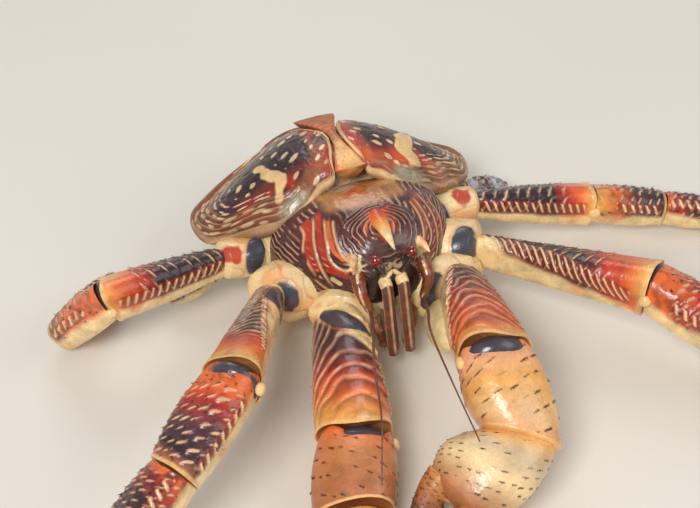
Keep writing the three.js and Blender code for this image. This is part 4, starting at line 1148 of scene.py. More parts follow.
# What a look says. "stops" are colours along the piece. "fold" is the strength of long folds
# from "fold_from" to "fold_to", with "gap" between them, "slant" behind the top, "fore_slant"
# before it and "wave". "crests" are short ridges: their spacing across and along, lean, half
# length, half thickness, and where they begin and end. "comb" is the gap between teeth, their
# lean, their reach before and behind the edge, and their width as a share of the gap, from
# "comb_from" to "comb_to"; "comb_at" is the comb's angle at the start and the end. "dash" is the
# height of the dashes' lips. "notch" and "start_notch" are the gaps on top of the ends, in knee
# gaps, around the angle "notch_at". The surface is pale below "pale_from", or "pale_gap" below
# the comb, and behind "pale_back". "flank", "dark", "pale", "under", "warm" and "rim" are
# strengths of tints. "ivory_to" is where an ivory root ends behind and in front, and "blush" the
# share and angle of a red patch. "bristles" is their greatest number, and "lumps" the height of
# lumps. A key that starts with "dash", "comb" or "notch" belongs to the thing of that name.
LOOKS = {
    "leg_merus": {
        "stops": [(0, "plum"), (0.12, "night"), (0.62, "night"), (0.74, "red"), (0.86, "orange"),
                  (1, "amber")],
        "crests": (9, 7, 0.55, 3.6, 0.6, 0.05, 0.8), "notch": 0.35, "start_notch": 0, "flank": 0.25,
        "pale_from": -1.3, "bristles": 60,
    },
    "claw_merus": {
        "stops": [(0, "tan"), (0.1, "plum"), (0.4, "plum"), (0.6, "red"), (0.76, "orange"), (1, "amber")],
        "fold": 1.0, "fold_from": 0.02, "fold_to": 0.9, "slant": 2.6, "notch": 0.9, "gap": 9.0,
        "bristles": 80,
        "flank": 0.5, "comb": (3.0, 0.2, 2.2, 1.6, 0.26), "pale_from": -1.0, "pale_back": 2.4,
    },
    "leg_carpus": {
        "stops": [(0, "orange"), (0.25, "orange"), (0.4, "red"), (0.6, "plum"), (0.85, "night"),
                  (1, "tan")],
        "crests": (6.5, 6, 0.5, 2.4, 0.75, 0.25, 0.97), "crest_height": 0.8, "notch": 0.1,
        "start_notch": 0.35,
        "dash": 0.35, "dash_gap": 5, "dash_wide": 5.5, "dash_long": 0.16, "bristles": 160, "flank": 0.1,
        "pale_from": -1.45, "dark": 0.4, "comb": (5.2, 0.5, 3.6, 3.2, 0.22), "comb_from": 0.25,
    },
    "leg_propodus": {
        "stops": [(0, "orange"), (0.12, "red"), (0.3, "plum"), (1, "night")], "dark": 0.7,
        "crests": (6, 5.4, 0.4, 2.2, 0.7, 0.06, 0.99), "crest_height": 0.8, "notch": 0.1,
        "start_notch": 0.2,
        "dash": 0.35, "dash_gap": 4.4, "dash_wide": 5, "dash_long": 0.16, "bristles": 300, "flank": 0.1,
        "pale_from": -1.5, "comb": (5.2, 0.5, 3.2, 3.0, 0.22),
    },
    "claw_carpus": {
        "stops": [(0, "orange"), (0.15, "orange"), (0.4, (0.8, 0.34, 0.15)), (0.75, "amber"),
                  (1, (0.78, 0.36, 0.14))],
        "fold": 0.12, "fold_from": 0.1, "fold_to": 0.98, "gap": 9.0, "slant": -0.35, "fore_slant": -0.2,
        "notch": 0.05, "dash": 0.5, "dash_gap": 8.6, "dash_wide": 7, "dash_long": 0.3, "dash_thin": 0.055,
        "dash_slant": 0.45, "bristles": 420, "bristle_size": 0.7, "start_notch": 0.5, "flank": 0,
        "pale": 0.3, "pale_from": -1.9, "dark": 0.0, "warm": 0.5,
    },
    "palm": {
        "stops": [(0, "amber"), (0.3, (0.62, 0.44, 0.25)), (0.6, "cream"), (1, "tan")],
        "dash": 0.5, "dash_gap": 5.2, "dash_wide": 5.6, "dash_under": 1, "dash_thin": 0.08, "bristles": 600,
        "bristle_size": 0.6, "start_notch": 0.05, "round_end": True, "flank": 0, "rim": 0, "dark": 0.0,
        "pale_from": -2.2, "warm": 0.35,
    },
    "coxa": {
        "stops": [(0, "ivory"), (0.6, "ivory"), (0.85, "cream"), (1, "cream")], "flank": 0,
        "under": 0.4, "rim": 0,
        "round_end": True, "dark": 0, "lumps": 0.9,
    },
    "small": {
        "stops": [(0, "frost"), (0.4, "plum"), (0.6, "frost"), (1, "plum")], "fold": 0.3, "gap": 4.5,
        "slant": 1.2, "fold_to": 1, "dash": 0.3, "dash_gap": 4, "dash_wide": 4, "bristles": 160, "flank": 0,
        "crests": (5, 4.5, 0.3, 1.6, 0.6, 0.0, 1.0), "dark": 0.3,
    },
}
# How single pieces differ from the look of their kind. Bare skin is a half width and places
# along its middle.
OWN_LOOKS = {
    ("claw", "left", "coxa"): {"bare": (6.0, (27, -113, 47.5), (22, -118, 41), (19, -117.5, 33))},
    ("front_leg", "right", "coxa"): {"bare": (9.0, (-62, -92, 55), (-57, -97, 46), (-56, -99, 36))},
    ("front_leg", "left", "coxa"): {
        "bare": (8.5, (53.5, -91, 54.8), (50.5, -98.6, 50.5), (48.7, -102, 38)),
    },
    ("rear_leg", "right", "coxa"): {
        "bare": (6.0, (-58, -51.5, 50), (-61.1, -58.4, 45.9), (-64, -60.5, 36.5)),
        "blush": (0.97, -0.6),
    },
    ("rear_leg", "left", "coxa"): {
        "bare": (5.0, (51, -53.5, 45.8), (52.6, -59.4, 40.5), (56, -59.8, 30.5)),
        "blush": (0.85, -0.25),
    },
    ("front_leg", "right", "merus"): {
        "fold": 0.9, "gap": 5.2, "slant": 1.8, "fold_to": 0.74, "wave": 0.25, "pale_gap": 0.12,
        "crests": None,
        "comb": (3.0, 0.5, 1.7, 1.9, 0.27), "comb_at": (0.12, -1.15), "notch": -0.5, "flank": 0.45,
        "comb_to": 0.85, "notch_arc": 1.0,
        "notch_at": -0.4, "bare": (8.5, (-62, -93, 54), (-63, -108, 54), (-60, -114, 44)), "knee_shift": 5,
    },
    ("front_leg", "right", "carpus"): {
        "start_notch": 1.5, "notch_arc": 1.1, "notch_at": -0.4, "comb_at": (-1.2, -1.2),
    },
    ("front_leg", "left", "merus"): {
        "notch": 0.2, "notch_at": -0.5, "comb": (4.9, 0.8, 8.0, 4.0, 0.2), "comb_at": (0.2, -1.75),
        "pale_gap": 0.75,
        "ivory_to": (0.02, 0.2),
    },
    ("front_leg", "left", "carpus"): {"comb_at": (-1.15, -1.15), "start_notch": 0.15, "pale_from": -1.7},
    ("claw", "right", "merus"): {
        "gap": 9.5, "wave": 0.4, "slant": 1.9, "tone_slant": 0.05, "notch": -1.2, "notch_at": -0.3,
        "comb_at": (-1.3, -1.4),
        "pale_from": -1.5, "ivory_to": (0.1, 0.42), "knee_shift": 9, "fold_from": 0.1, "pale": 0.75,
        "bare": (6.0, (-39.5, -113, 42), (-32.1, -126.6, 47.2), (-23, -134, 41)),
    },
    ("claw", "left", "merus"): {
        "stops": [(0, "plum"), (0.22, "plum"), (0.4, "red"), (0.7, (0.85, 0.15, 0.04)),
                  (0.86, "orange"), (1, "amber")],
        "slant": 1.4, "notch": -1.5, "comb_at": (-0.5, -1.8), "pale_gap": 0.2, "knee_shift": 6,
        "dark": 0.45, "gap": 8.2,
        "comb": (4.2, 0.5, 2.6, 2.8, 0.24), "wave": 0.5, "pale": 0.6,
    },
    ("claw", "right", "carpus"): {
        "stops": [(0, "orange"), (0.4, (0.58, 0.21, 0.07)), (0.75, "tan"), (1, "tan")], "dash_wide": 6,
        "start_notch": 2.6,
        "notch_at": -0.3,
    },
    ("claw", "left", "carpus"): {
        "stops": [(0, (0.85, 0.32, 0.14)), (0.2, (0.85, 0.4, 0.2)), (0.5, "amber"),
                  (0.8, (0.86, 0.5, 0.22)), (1, (0.78, 0.36, 0.14))],
        "start_notch": 1.8, "round_end": True, "wide": (18, 22.3, 17.5), "high": (16, 21, 18),
        "dash_gap": 7.2,
        "dash_wide": 8, "dash_long": 0.36,
    },
    ("rear_leg", "right", "merus"): {
        "stops": [(0, "plum"), (0.1, "night"), (0.55, "night"), (0.68, "red"), (0.82, "orange"),
                  (1, "amber")],
        "comb_at": (-1.3, -1.4), "pale_from": -1.9,
    },
    ("rear_leg", "left", "merus"): {"comb_at": (-1.2, -1.35), "pale_from": -1.85},
    ("rear_leg", "right", "carpus"): {
        "stops": [(0, "orange"), (0.5, "orange"), (0.7, "tan"), (1, "horn")], "comb_at": (-1.35, -1.35),
        "pale_from": -1.9,
        "start_notch": 0.35,
    },
    ("rear_leg", "left", "carpus"): {
        "stops": [(0, "amber"), (0.3, "orange"), (0.5, "plum"), (1, "night")], "comb_at": (-1.2, -1.2),
        "pale_from": -1.8,
        "start_notch": 0.1,
    },
}


def hip_lobe(form, c):
    """The ivory lobe beside the root of the left claw: an ellipsoid along the piece."""
    tone = mix(c["ivory"], c["cream"], 0.3)
    return ball(np.array([22.0, -132, 30]), (form.axis, form.ahead, form.up), (25, 8, 12), tone, 0.6, 60, 72)


def dress_limb(limb, side_name, parts, c, s):
    """Builds the named parts of one limb, with the skin and knobs of each knee on the part
    before it. Both fingers of a claw are built with its palm."""
    side = SIDES[side_name]
    places = joint_places(limb, side_name)
    planes = joint_planes(places)
    names = (["coxa"] if limb in SOCKETS else []) + list(LIMBS[limb])
    seed = 100 * (list(LIMBS).index(limb) + 1) + (50 if side < 0 else 0)
    scale = RIGHT_CLAW if limb == "claw" and side < 0 else 1
    for k, part in enumerate(names):
        if part not in parts:
            continue
        start, end = places[k], places[k + 1]
        node = f"{limb}_{side_name}_{part}"
        seed_k = seed + 7 * k
        own = OWN_LOOKS.get((limb, side_name, part), {})
        if part == "dactyl":
            dress_dactyl(node, start, end, LIMBS[limb][part][1], c, s, seed_k)
            continue
        if part == "coxa":
            wide, high = COXA[limb]
            form = LimbForm(start, end, planes[k], planes[k + 1], side, wide, high, 0.05)
            look = {**LOOKS["coxa"], **own}
            kind = "ivory"
        else:
            _, wide, high, comb, edge, roll = LIMBS[limb][part]
            if part == "palm":
                wide, high = [v * scale for v in wide], [v * scale for v in high]
            end_plane = unit(end - start) if part == "palm" else planes[k + 1]
            form = LimbForm(start, end, planes[k], end_plane, side, wide, high, edge, comb, roll)
            claw_style = "palm" if part == "palm" else "claw_" + part
            style = {"small_leg": "small", "claw": claw_style}.get(limb, "leg_" + part)
            look = {**LOOKS[style], **own}
            for key in ("notch", "start_notch"):
                look[key] = look.get(key, 0) * s["knee_gap"]
            form.wide, form.high = look.get("wide", form.wide), look.get("high", form.high)
            kind = {"small": "small_leg", "palm": "claw", "claw_carpus": "claw"}.get(style, "limb")
        skins = limb_skins(form, look, c, s, seed_k)
        if part == "merus":
            skins += knee_skins(form, look, c)
        if (limb, side_name, part) == ("claw", "left", "merus"):
            skins.append(hip_lobe(form, c))
        if part == "palm":
            fixed, moving = finger_curves(end, places[k + 2], side, scale)
            skins += finger_skins(fixed, 10.5 * scale, 1, scale, c, s, seed_k)
            horn = finger_skins(moving, 9.5 * scale, -1, scale, c, s, seed_k + 3)
            other = f"{limb}_{side_name}_finger"
        piece(node + "_dressed", skins, material_for(kind), kind, node)
        if part == "palm":
            piece(other + "_dressed", horn, material_for("horn"), "finger", other)


def dress_dactyl(node, start, end, half, c, s, seed):
    """A horn that bends down to its tip: rings along a curve through an arch above the middle,
    with a size that falls smoothly from the root to the rounded point."""
    axis = unit(end - start)
    arch = mix(start, end, 0.55) + UP * half * 0.55
    foot = end + UP * 0.9
    size = lambda t: mix(half, 1.1, step(0, 1, np.maximum(0, t - 0.1) / 0.9))
    furrow = lambda t, a: 1 - 0.05 * np.abs(np.cos(2.5 * a)) ** 6 * (1 - t)
    path = [start - axis * 1.0, start + axis * 3, arch, foot]
    grid, t, a = bar_grid(path, size, size, 90, 60, lift=furrow)
    n1, n2 = noise(grid, 6, seed), noise(grid, 2, seed + 1)
    stops = [(0, "red"), (0.12, "plum"), (0.5, "night"), (0.8, "horn"), (1, "soot")]
    tint = ramp(t + 0.06 * n1, c, stops)
    d, _ = scattered(a * 3, t * 22, seed + 2, 0.25, 0.2, 0.3)
    dots = fall(0.7, 1.3, d) * fall(0.6, 0.85, t)
    tint = over(tint, c["cream"], 0.5 * dots * step(-0.2, 0.5, n1))
    grid = grid + outward(grid) * (0.35 * dots + 0.1 * n2)[..., None]
    rng = np.random.default_rng(seed)
    chosen = rng.choice(np.flatnonzero((dots > 0.6).ravel()), 160)
    spots, normal = spots_on(grid, chosen)
    lean = unit(0.6 * normal + axis + 0.2 * rng.normal(size=normal.shape))
    size = s["bristle"] * (0.4 + 0.5 * rng.random(len(chosen)))
    tufts = bristles(spots - ROOT_DEPTH * normal, lean, size, 0.2, c["soot"])
    piece(node + "_dressed", [skin(grid, tint, 0.6), tufts], material_for("horn"), "tip", node)


def finger_curves(knuckle, tip, side, scale):
    """The curves of the fixed and the moving finger, side by side past the knuckle."""
    point_to = unit(tip - knuckle)
    ahead, up = axes_across(point_to, side)
    long = np.linalg.norm(tip - knuckle) / scale
    place = lambda a, b, h: knuckle + (point_to * a + ahead * b + up * h) * scale
    fixed = [place(-8, -9, 0), place(4, -10, -1), place(long * 0.6, -8.5, -2), place(long, -2.5, -2)]
    moving = [place(-6, 11, 1), place(6, 12.5, 1), place(long * 0.6, 10.5, 0), place(long, 2.5, 0)]
    return fixed, moving


def finger_skins(points, half, way, scale, c, s, seed):
    """A finger: rings along its curve that shrink with the share to the power 1.4, with four
    blunt teeth towards the other finger, each a swelling of the rings."""
    teeth = ((0.25, 3.0), (0.42, 2.8), (0.58, 2.2), (0.73, 1.6))

    def size(t):
        tip = np.sqrt(np.clip(1 - ((t - 0.9) / 0.1) ** 2, 0.04, 1) * (t > 0.9) + (t <= 0.9))
        return half * (1 - 0.78 * t**1.4) * tip

    def bumps(t, a):
        facing = bell(turned(a - (0 if way > 0 else math.pi)), 0.45)
        rise = sum(h * scale * bell(t - at, 0.05) for at, h in teeth)
        return 1 + facing * rise / size(t)

    grid, t, a = bar_grid(points, size, lambda t: size(t) * 1.15, 90, 64, lift=bumps)
    n1, n2 = noise(grid, 7, seed), noise(grid, 2.2, seed + 1)
    root = mix(c["amber"], c["tan"], 0.5)
    stops = [(0, root), (0.3, "tan"), (0.55, "horn"), (0.85, "horn"), (1, "cream")]
    tint = ramp(t + 0.08 * n1, c, stops)
    d, _ = scattered(a * 3.2, t * 12, seed + 2, 0.3, 0.16, 0.3)
    dots = fall(0.6, 1.3, d) * fall(0.7, 0.9, t)
    tint = over(tint, c["soot"], 0.6 * dots)
    worn = np.clip((bumps(t, a) - 1.12) * 3, 0, 1)
    tint = over(tint, c["ivory"], 0.8 * worn)
    grid = grid + outward(grid) * (0.12 * n2 - 0.25 * dots)[..., None]
    rng = np.random.default_rng(seed)
    chosen = rng.choice(np.flatnonzero((dots > 0.5).ravel()), 150)
    spots, normal = spots_on(grid, chosen)
    lean = unit(normal + 0.5 * rng.normal(size=normal.shape))
    tufts = bristles(spots - ROOT_DEPTH * normal, lean, s["bristle"] * 0.6, 0.18, c["soot"])
    return [skin(grid, tint, 0.6), tufts]


# The head, the belly and the tail


def dress_face(c):
    """Eyes on stalks, the folded feelers between them, the antennae with their whips, the
    mouth legs and the ledge that the eyes stand on."""
    hint = np.array([0, 1, 0.2])
    size = lambda t: 3.1 * (1 + 0.06 * np.sin(7 * t))
    dome = lambda t: 3.4 * np.sqrt(np.maximum(0.015, 1 - t**2.4))
    for name, side in SIDES.items():
        root, top = mirrored_all([(5, -111.5, 61), (10, -114.3, 73)], side)
        axis = unit(top - root)
        grid, _, _ = bar_grid([root, top], size, size, 40, 40, hint)
        tone = over(c["stalk"], c["olive"], 0.35 * step(0.2, 0.8, noise(grid, 2.5, 61)))
        stalk = [skin(grid, tone, 0.85)]
        piece(f"stalk_{name}", stalk, material_for("stalk"), "stalk", f"eye_stalk_{name}")
        base = top + axis * 0.3
        grid, share, _ = bar_grid([base, base + axis * 4.59], dome, dome, 40, 48, hint)
        eye = [skin(grid, over(c["eye"], c["soot"], 0.6 * step(0.25, 0, share)), 1.0)]
        piece(f"eyeball_{name}", eye, material_for("eye"), "eye", f"eye_{name}")
        dress_antennule(name, side, c)
        dress_antenna(name, side, c)
        dress_mouth_leg(name, side, c)
    skins = []
    hint = np.array([0.2, 1, 0.1])
    thin = lambda t: 1.7 - 0.7 * t
    for side in (1, -1):
        ridge = mirrored_all([(0.4, -111.5, 66.5), (3, -113.6, 65), (6.4, -113.4, 68.5)], side)
        grid, _, _ = bar_grid(ridge, thin, thin, 24, 20, hint)
        ground = mix(c["olive"], c["tan"], 0.3)
        tone = over(ground, c["stalk"], 0.5 * step(0, 0.7, noise(grid, 2, 62)))
        skins.append(skin(grid, tone, 0.5))
        lower = mirrored_all([(0.4, -112, 62), (2.6, -113.8, 60.5), (6, -113.6, 58)], side)
        grid, _, _ = bar_grid(lower, thin, thin, 24, 20, hint)
        tone = over(c["cream"], c["tan"], 0.6 * step(0, 0.7, noise(grid, 2, 63)))
        skins.append(skin(grid, tone, 0.6))
    piece("eye_ledge", skins, material_for("mouth"), "stalk")


def dress_antennule(name, side, c):
    """A cream knee and two glossy rods down from it, whose rings carry four low ridges with
    cream crests."""
    joints = [(4.9, -108, 57), (4.8, -117.5, 54), (4.9, -130, 15), (4.7, -124, 19)]
    root, knee, tip, fold = mirrored_all(joints, side)
    ahead = np.array([0, 1, 0])
    crests = lambda t, a: 1 + 0.1 * np.cos(4 * a)

    def ridged(points, wide, high, rows, seed, cream):
        grid, t, a = bar_grid(points, wide, high, rows, 40, ahead, crests)
        n1 = noise(grid, 3, seed)
        tone = over(mix(c["plum"], c["tan"], 0.2), c["night"], 0.6 * step(0, 0.7, n1))
        edge = step(0.6, 0.92, np.cos(4 * a)) * fall(0.93, 1, t)
        tone = over(tone, mix(c["cream"], c["lilac"], 0.3), cream * edge * (0.7 + 0.3 * n1))
        tone = over(tone, c["orange"], 0.25 * step(0.35, 0.6, n1))
        return skin(grid, tone, 0.9)

    half = lambda share: (lambda t: 3.3 * share * (1 - 0.12 * np.maximum(0, t - 0.9) / 0.1))
    flat = lambda start, end: (lambda t: 2.5 * mix(start, end, t))
    path = [root, (root + knee) / 2 + UP * 0.8, knee + UP * 0.6]
    grid, _, _ = bar_grid(path, half(1.1), half(1.1), 30, 36)
    tone = over(c["cream"], c["tan"], 0.6 * step(0, 0.8, noise(grid, 3, 70)))
    top, behind = knee + np.array([0, 1.5, 1.5]), knee + np.array([0, 4.4, -6])
    down = [top, knee, mix(knee, tip, 0.5), tip]
    across = [tip + np.array([0, 0.8, 1]), mix(tip, fold, 0.6), fold]
    up = [fold, mix(fold, behind, 0.5), behind]
    skins = [
        skin(grid, tone, 0.7),
        ridged(down, half(0.95), flat(1.1, 0.9), 90, 71, 0.85),
        ridged(across, half(0.8), half(0.8), 24, 72, 0.3),
        ridged(up, flat(0.8, 0.5), half(0.7), 80, 73, 0.5),
    ]
    node = f"antennule_{name}"
    piece(node + "_dressed", skins, material_for("feeler"), "feeler", node)


# Where the long whips run, and how many beads each of their two lengths has.
WHIPS = {
    "right": [(-22, -140, 51), (-37, -180, 66), (-46, -212, 64), (-56, -238, 47)],
    "left": [(7, -146, 60), (-7, -182, 82), (-10, -214, 81), (-4, -238, 58)],
}
BEADS = 45


def dress_antenna(name, side, c):
    """The stout base of an antenna with pale streaks, then its whip in two tapering lengths
    ringed like a string of beads."""
    root, bend, end = mirrored_all([(19, -108, 61), (19.5, -117, 54), (15.5, -120, 43)], side)
    size = lambda t: mix(4.4, 2.2, t)
    folds_on = lambda t, a: 1 + 0.07 * np.cos(3 * a + 2 * t) + 0.05 * np.cos(9 * math.pi * t)
    grid, t, a = bar_grid([root, bend, end], size, size, 70, 48, np.array([1, 0, 0.2]), folds_on)
    n1 = noise(grid, 4, 80)
    tone = over(mix(c["shell"], c["tan"], 0.3), c["red"], 0.45 * step(-0.1, 0.7, n1))
    streak = step(0.75, 0.95, np.cos(3 * a + 2 * t)) * step(-0.5, 0.1, n1)
    base = [skin(grid, over(tone, c["cream"], 0.8 * streak), 0.75)]
    piece(f"antenna_{name}_base", base, material_for("feeler"), "feeler", f"antenna_base_{name}")
    lead = unit(end - bend)
    path = [end + lead * 0.6] + [np.array(p, float) for p in WHIPS[name]]
    hint = np.array([1, 0.2, 0.1])
    ringing = lambda t: np.cos(2 * math.pi * BEADS * t)
    beads = lambda t, a: 1 + 0.08 * ringing(t)
    ground = mix(c["shell"], c["soot"], 0.3)
    for node, start, stop in (("whip", 0, 0.496), ("tip", 0.504, 1)):
        points, _ = curve(path, np.linspace(start, stop, 16))
        thick = lambda t: through((1.15, 0.65, 0.35), mix(start, stop, t))
        grid, t, _ = bar_grid(points, thick, thick, 360, 14, hint, beads)
        whip = [skin(grid, over(ground, c["tan"], 0.5 * step(0.2, 0.9, ringing(t))), 0.6)]
        piece(f"feeler_{node}_{name}", whip, material_for("whip"), "whip", f"antenna_{node}_{name}")


def dress_mouth_leg(name, side, c):
    """A jointed mouth leg, narrowed at its joints, with a brush of hairs."""
    points = mirrored_all([(10, -98, 27), (10.5, -117, 30), (7, -120, 13)], side)
    wide = lambda t: mix(3.6, 1.6, t)
    high = lambda t: mix(4.3, 1.8, t)
    rings = lambda t, a: 1 - 0.12 * bell((t * 4) % 1 - 0.5, 0.08)
    grid, t, _ = bar_grid(points, wide, high, 80, 36, np.array([1, 0, 0.1]), rings)
    ground = mix(c["tan"], c["horn"], 0.5)
    tone = over(ground, c["cream"], 0.4 * step(0.1, 0.7, noise(grid, 3, 90)))
    rng = np.random.default_rng(90 + side)
    chosen = rng.choice(np.flatnonzero((t > 0.3).ravel()), 420)
    spots, normal = spots_on(grid, chosen)
    lean = unit(normal + 0.35 * rng.normal(size=normal.shape) + [0, 0, -0.5])
    hair_tone = mix(c["tan"], c["soot"], 0.4)
    hairs = bristles(spots - ROOT_DEPTH * normal, lean, 2.2, 0.13, hair_tone)
    node = f"mouth_leg_{name}"
    piece(node + "_dressed", [skin(grid, tone, 0.35), hairs], material_for("mouth"), "mouth", node)


def dress_thorax(c):
    """The body under the shell: rows of rounded ovals from the face to the tail, swollen over
    the gill chambers, with furrows between the leg roots beneath."""
    stations = np.array([
        (-112, 13, 33, 60), (-104, 20, 26, 64), (-90, 29, 18, 66), (-68, 38, 15, 66),
        (-40, 43, 17, 68), (-14, 42, 22, 64), (4, 34, 28, 54),
    ], float)
    t = np.concatenate([[0] * 3, np.linspace(0, 1, 150), [1] * 3])
    shrink = np.concatenate([[0.4, 0.75, 0.93], np.ones(150), [0.93, 0.75, 0.4]])[:, None]
    push = np.concatenate([[-0.9, -0.6, -0.2], np.zeros(150), [0.3, 0.9, 1.2]])[:, None]
    angle = np.linspace(0, 2 * math.pi, 260, endpoint=False)[None]
    line, _ = curve(stations, t)
    y, half, low, high = (line[:, k][:, None] for k in range(4))
    middle, tall = (low + high) / 2, (high - low) / 2
    x = half * power(np.cos(angle), 0.8) * shrink
    z = middle + tall * power(np.sin(angle), 0.8) * shrink
    places = np.stack([x, y + push + 0 * x, z], -1)
    n1, n2 = noise(places, 14, 51), noise(places, 4, 52)
    furrow = bell(((places[..., 1] + 20) / 24) % 1 - 0.5, 0.07) * (np.sin(angle) < 0.2)
    tint = over(c["ivory"], c["amber"], 0.6 * step(0, 0.8, n1))
    tint = over(tint, c["orange"], 0.4 * step(0.2, 0.8, n1) + 0.3 * furrow)
    tint = over(tint, c["red"], 0.4 * step(0.55, 0.9, n2))
    tint = over(tint, c["night"], 0.75 * step(52, 60, z) * (y < -60))
    places = places + outward(places) * (0.25 * n2 - 0.9 * furrow)[..., None]
    piece("breast", [skin(places, tint, 0.6)], material_for("ivory"), "ivory", "thorax")


# The middle of the folded tail.
TAIL_MIDDLE = (0, 6, 27)


def tail_place(degrees, share, out):
    """A place on the tail's outside: the angle is 0 at the very rear and 90 on top, and the
    reach and height shrink towards the sides by the root of one minus the share squared."""
    angle = np.radians(degrees)
    tall = np.where(np.sin(angle) > 0, 30, 28.6)
    shrink = np.sqrt(np.maximum(0, 1 - share**2))
    return np.stack([
        (40 + out) * share + 0 * angle,
        TAIL_MIDDLE[1] + (38 * shrink + out) * np.cos(angle),
        TAIL_MIDDLE[2] + (tall * shrink + out) * np.sin(angle),
    ], -1)


def dress_tail(c):
    """Four back plates and an end plate, each a thick strip of the tail's outside with ripples
    across it, and the soft wrinkled belly inside them."""
    spans = [(62 - 26 * k, 62 - 26 * k - 25.5, 0.93, 2.5, 0.9) for k in range(4)]
    spans.append((-45, -73, 0.42, 2.1, 0.5))
    nodes = [f"tail_plate_{k + 1}" for k in range(4)] + ["telson"]
    for k, ((start, stop, half, thick, lift), node) in enumerate(zip(spans, nodes)):
        share = half * np.sin(np.linspace(-1, 1, 120) * math.pi / 2)[:, None]
        down = np.concatenate([np.linspace(0, 1, 40), np.linspace(1, 0, 20)])[None]
        outer = np.concatenate([np.ones(40), np.zeros(20)])[None]
        degrees = mix(start, stop, down)
        thin = np.sqrt(1 - 0.7 * (share / half) ** 2)
        rise = (thick + lift * step(0, 1, down)) * thin * outer
        rise = rise * (0.55 + 0.45 * step(0, 0.12, down) * step(1.0, 0.93, down))
        places = tail_place(degrees + 0 * share, share + 0 * degrees, 0.3 + rise)
        n1, n2 = noise(places, 8, 110 + k), noise(places, 2.6, 120 + k)
        height, crest = folds(down * 6 + 0.4 * n1 + 2 * np.abs(share) ** 2)
        places = places + outward(places) * (outer * (0.35 * height + 0.15 * n2))[..., None]
        tint = over(mix(c["shell"], c["tan"], 0.3), c["night"], 0.6 * step(-0.2, 0.6, n1))
        tint = over(tint, c["orange"], 0.35 * step(0.3, 0.8, n2))
        tint = over(tint, mix(c["ripple"], c["cream"], 0.4), 0.6 * crest * outer * step(-0.3, 0.2, n1))
        tint = over(tint, c["cream"], 0.6 * step(0.9, 0.97, down) * outer)
        rng = np.random.default_rng(130 + k)
        hairy = (crest > 0.8) & (outer > 0.5) & (places[..., 2] > 3)
        chosen = rng.choice(np.flatnonzero(hairy.ravel()), 260)
        spots, normal = spots_on(places, chosen)
        away = unit(spots - TAIL_MIDDLE)
        normal = normal * np.sign((normal * away).sum(1))[:, None]
        lean = unit(normal + [0, 0, -0.8])
        hairs = bristles(spots - ROOT_DEPTH * normal, lean, 1.6, 0.14, c["tan"])
        piece(node + "_dressed", [skin(places, tint, 0.5), hairs], material_for("tail"), "tail", node)
    share = 0.995 * np.sin(np.linspace(-1, 1, 150) * math.pi / 2)[:, None]
    degrees = np.linspace(0, 360, 240, endpoint=False)[None]
    places = tail_place(degrees + 0 * share, share + 0 * degrees, 0.0)
    n1, n2 = noise(places, 11, 141), noise(places, 3.5, 142)
    wrinkle = np.sin(np.radians(degrees) * 26 + 2.5 * n1)
    beneath = (degrees > 250) | (degrees < -60)
    places = places + outward(places) * (0.35 * wrinkle - 0.4 + 0.3 * n2)[..., None]
    tint = over(mix(c["tan"], c["ivory"], 0.35), c["plum"], 0.55 * step(-0.1, 0.7, n1))
    # Painted shade: night laid into the troughs of the belly's wrinkles.
    tint = over(tint, c["night"], 0.4 * step(0.2, -0.8, wrinkle))
    tint = over(tint, c["cream"], 0.35 * step(0.3, 0.8, n2) * beneath)
    piece("tail_belly", [skin(places, tint, 0.3)], material_for("belly"), "belly", "tail")


# Operators


class CRAB_OT_shield(bpy.types.Operator):
    """Builds the rippled head shield with its beak and spines"""

    bl_idname = "crab.shield"
    bl_label = "Head shield"

    def execute(self, context):
        dress_shield(colours(), sizes())
        return {"FINISHED"}


class CRAB_OT_back(bpy.types.Operator):
    """Builds the two gill lobes and the plate between them"""

    bl_idname = "crab.back"
    bl_label = "Gill lobes"

    def execute(self, context):
        for name, side in SIDES.items():
            dress_lobe("lobe_" + name, side, colours(), sizes())
        dress_heart_plate(colours())
        return {"FINISHED"}


class CRAB_OT_face(bpy.types.Operator):
    """Builds the eyes, feelers, antennae and mouth legs"""

    bl_idname = "crab.face"
    bl_label = "Face"

    def execute(self, context):
        dress_face(colours())
        return {"FINISHED"}


class CRAB_OT_body(bpy.types.Operator):
    """Builds the breast and the roots of the legs"""

    bl_idname = "crab.body"
    bl_label = "Breast and hips"

    def execute(self, context):
        dress_thorax(colours())
        for limb in SOCKETS:
            for name in SIDES:
                dress_limb(limb, name, ("coxa",), colours(), sizes())
        return {"FINISHED"}


class CRAB_OT_tail(bpy.types.Operator):
    """Builds the tail's plates and its soft belly"""

    bl_idname = "crab.tail"
    bl_label = "Tail"

    def execute(self, context):
        dress_tail(colours())
        return {"FINISHED"}


class CRAB_OT_claws(bpy.types.Operator):
    """Builds both big claws with their knees and fingers"""

    bl_idname = "crab.claws"
    bl_label = "Big claws"

    def execute(self, context):
        for name in SIDES:
            dress_limb("claw", name, ("merus", "carpus", "palm"), colours(), sizes())
        return {"FINISHED"}


class CRAB_OT_legs(bpy.types.Operator):
    """Builds the four walking legs"""

    bl_idname = "crab.legs"
    bl_label = "Walking legs"

    def execute(self, context):
        for limb in ("front_leg", "rear_leg"):
            for name in SIDES:
                dress_limb(limb, name, ("merus", "carpus", "propodus", "dactyl"), colours(), sizes())
        return {"FINISHED"}


class CRAB_OT_small_legs(bpy.types.Operator):
    """Builds the two small legs behind the walking legs"""

    bl_idname = "crab.small_legs"
    bl_label = "Small legs"

    def execute(self, context):
        for name in SIDES:
            dress_limb("small_leg", name, ("arm", "claw"), colours(), sizes())
        return {"FINISHED"}


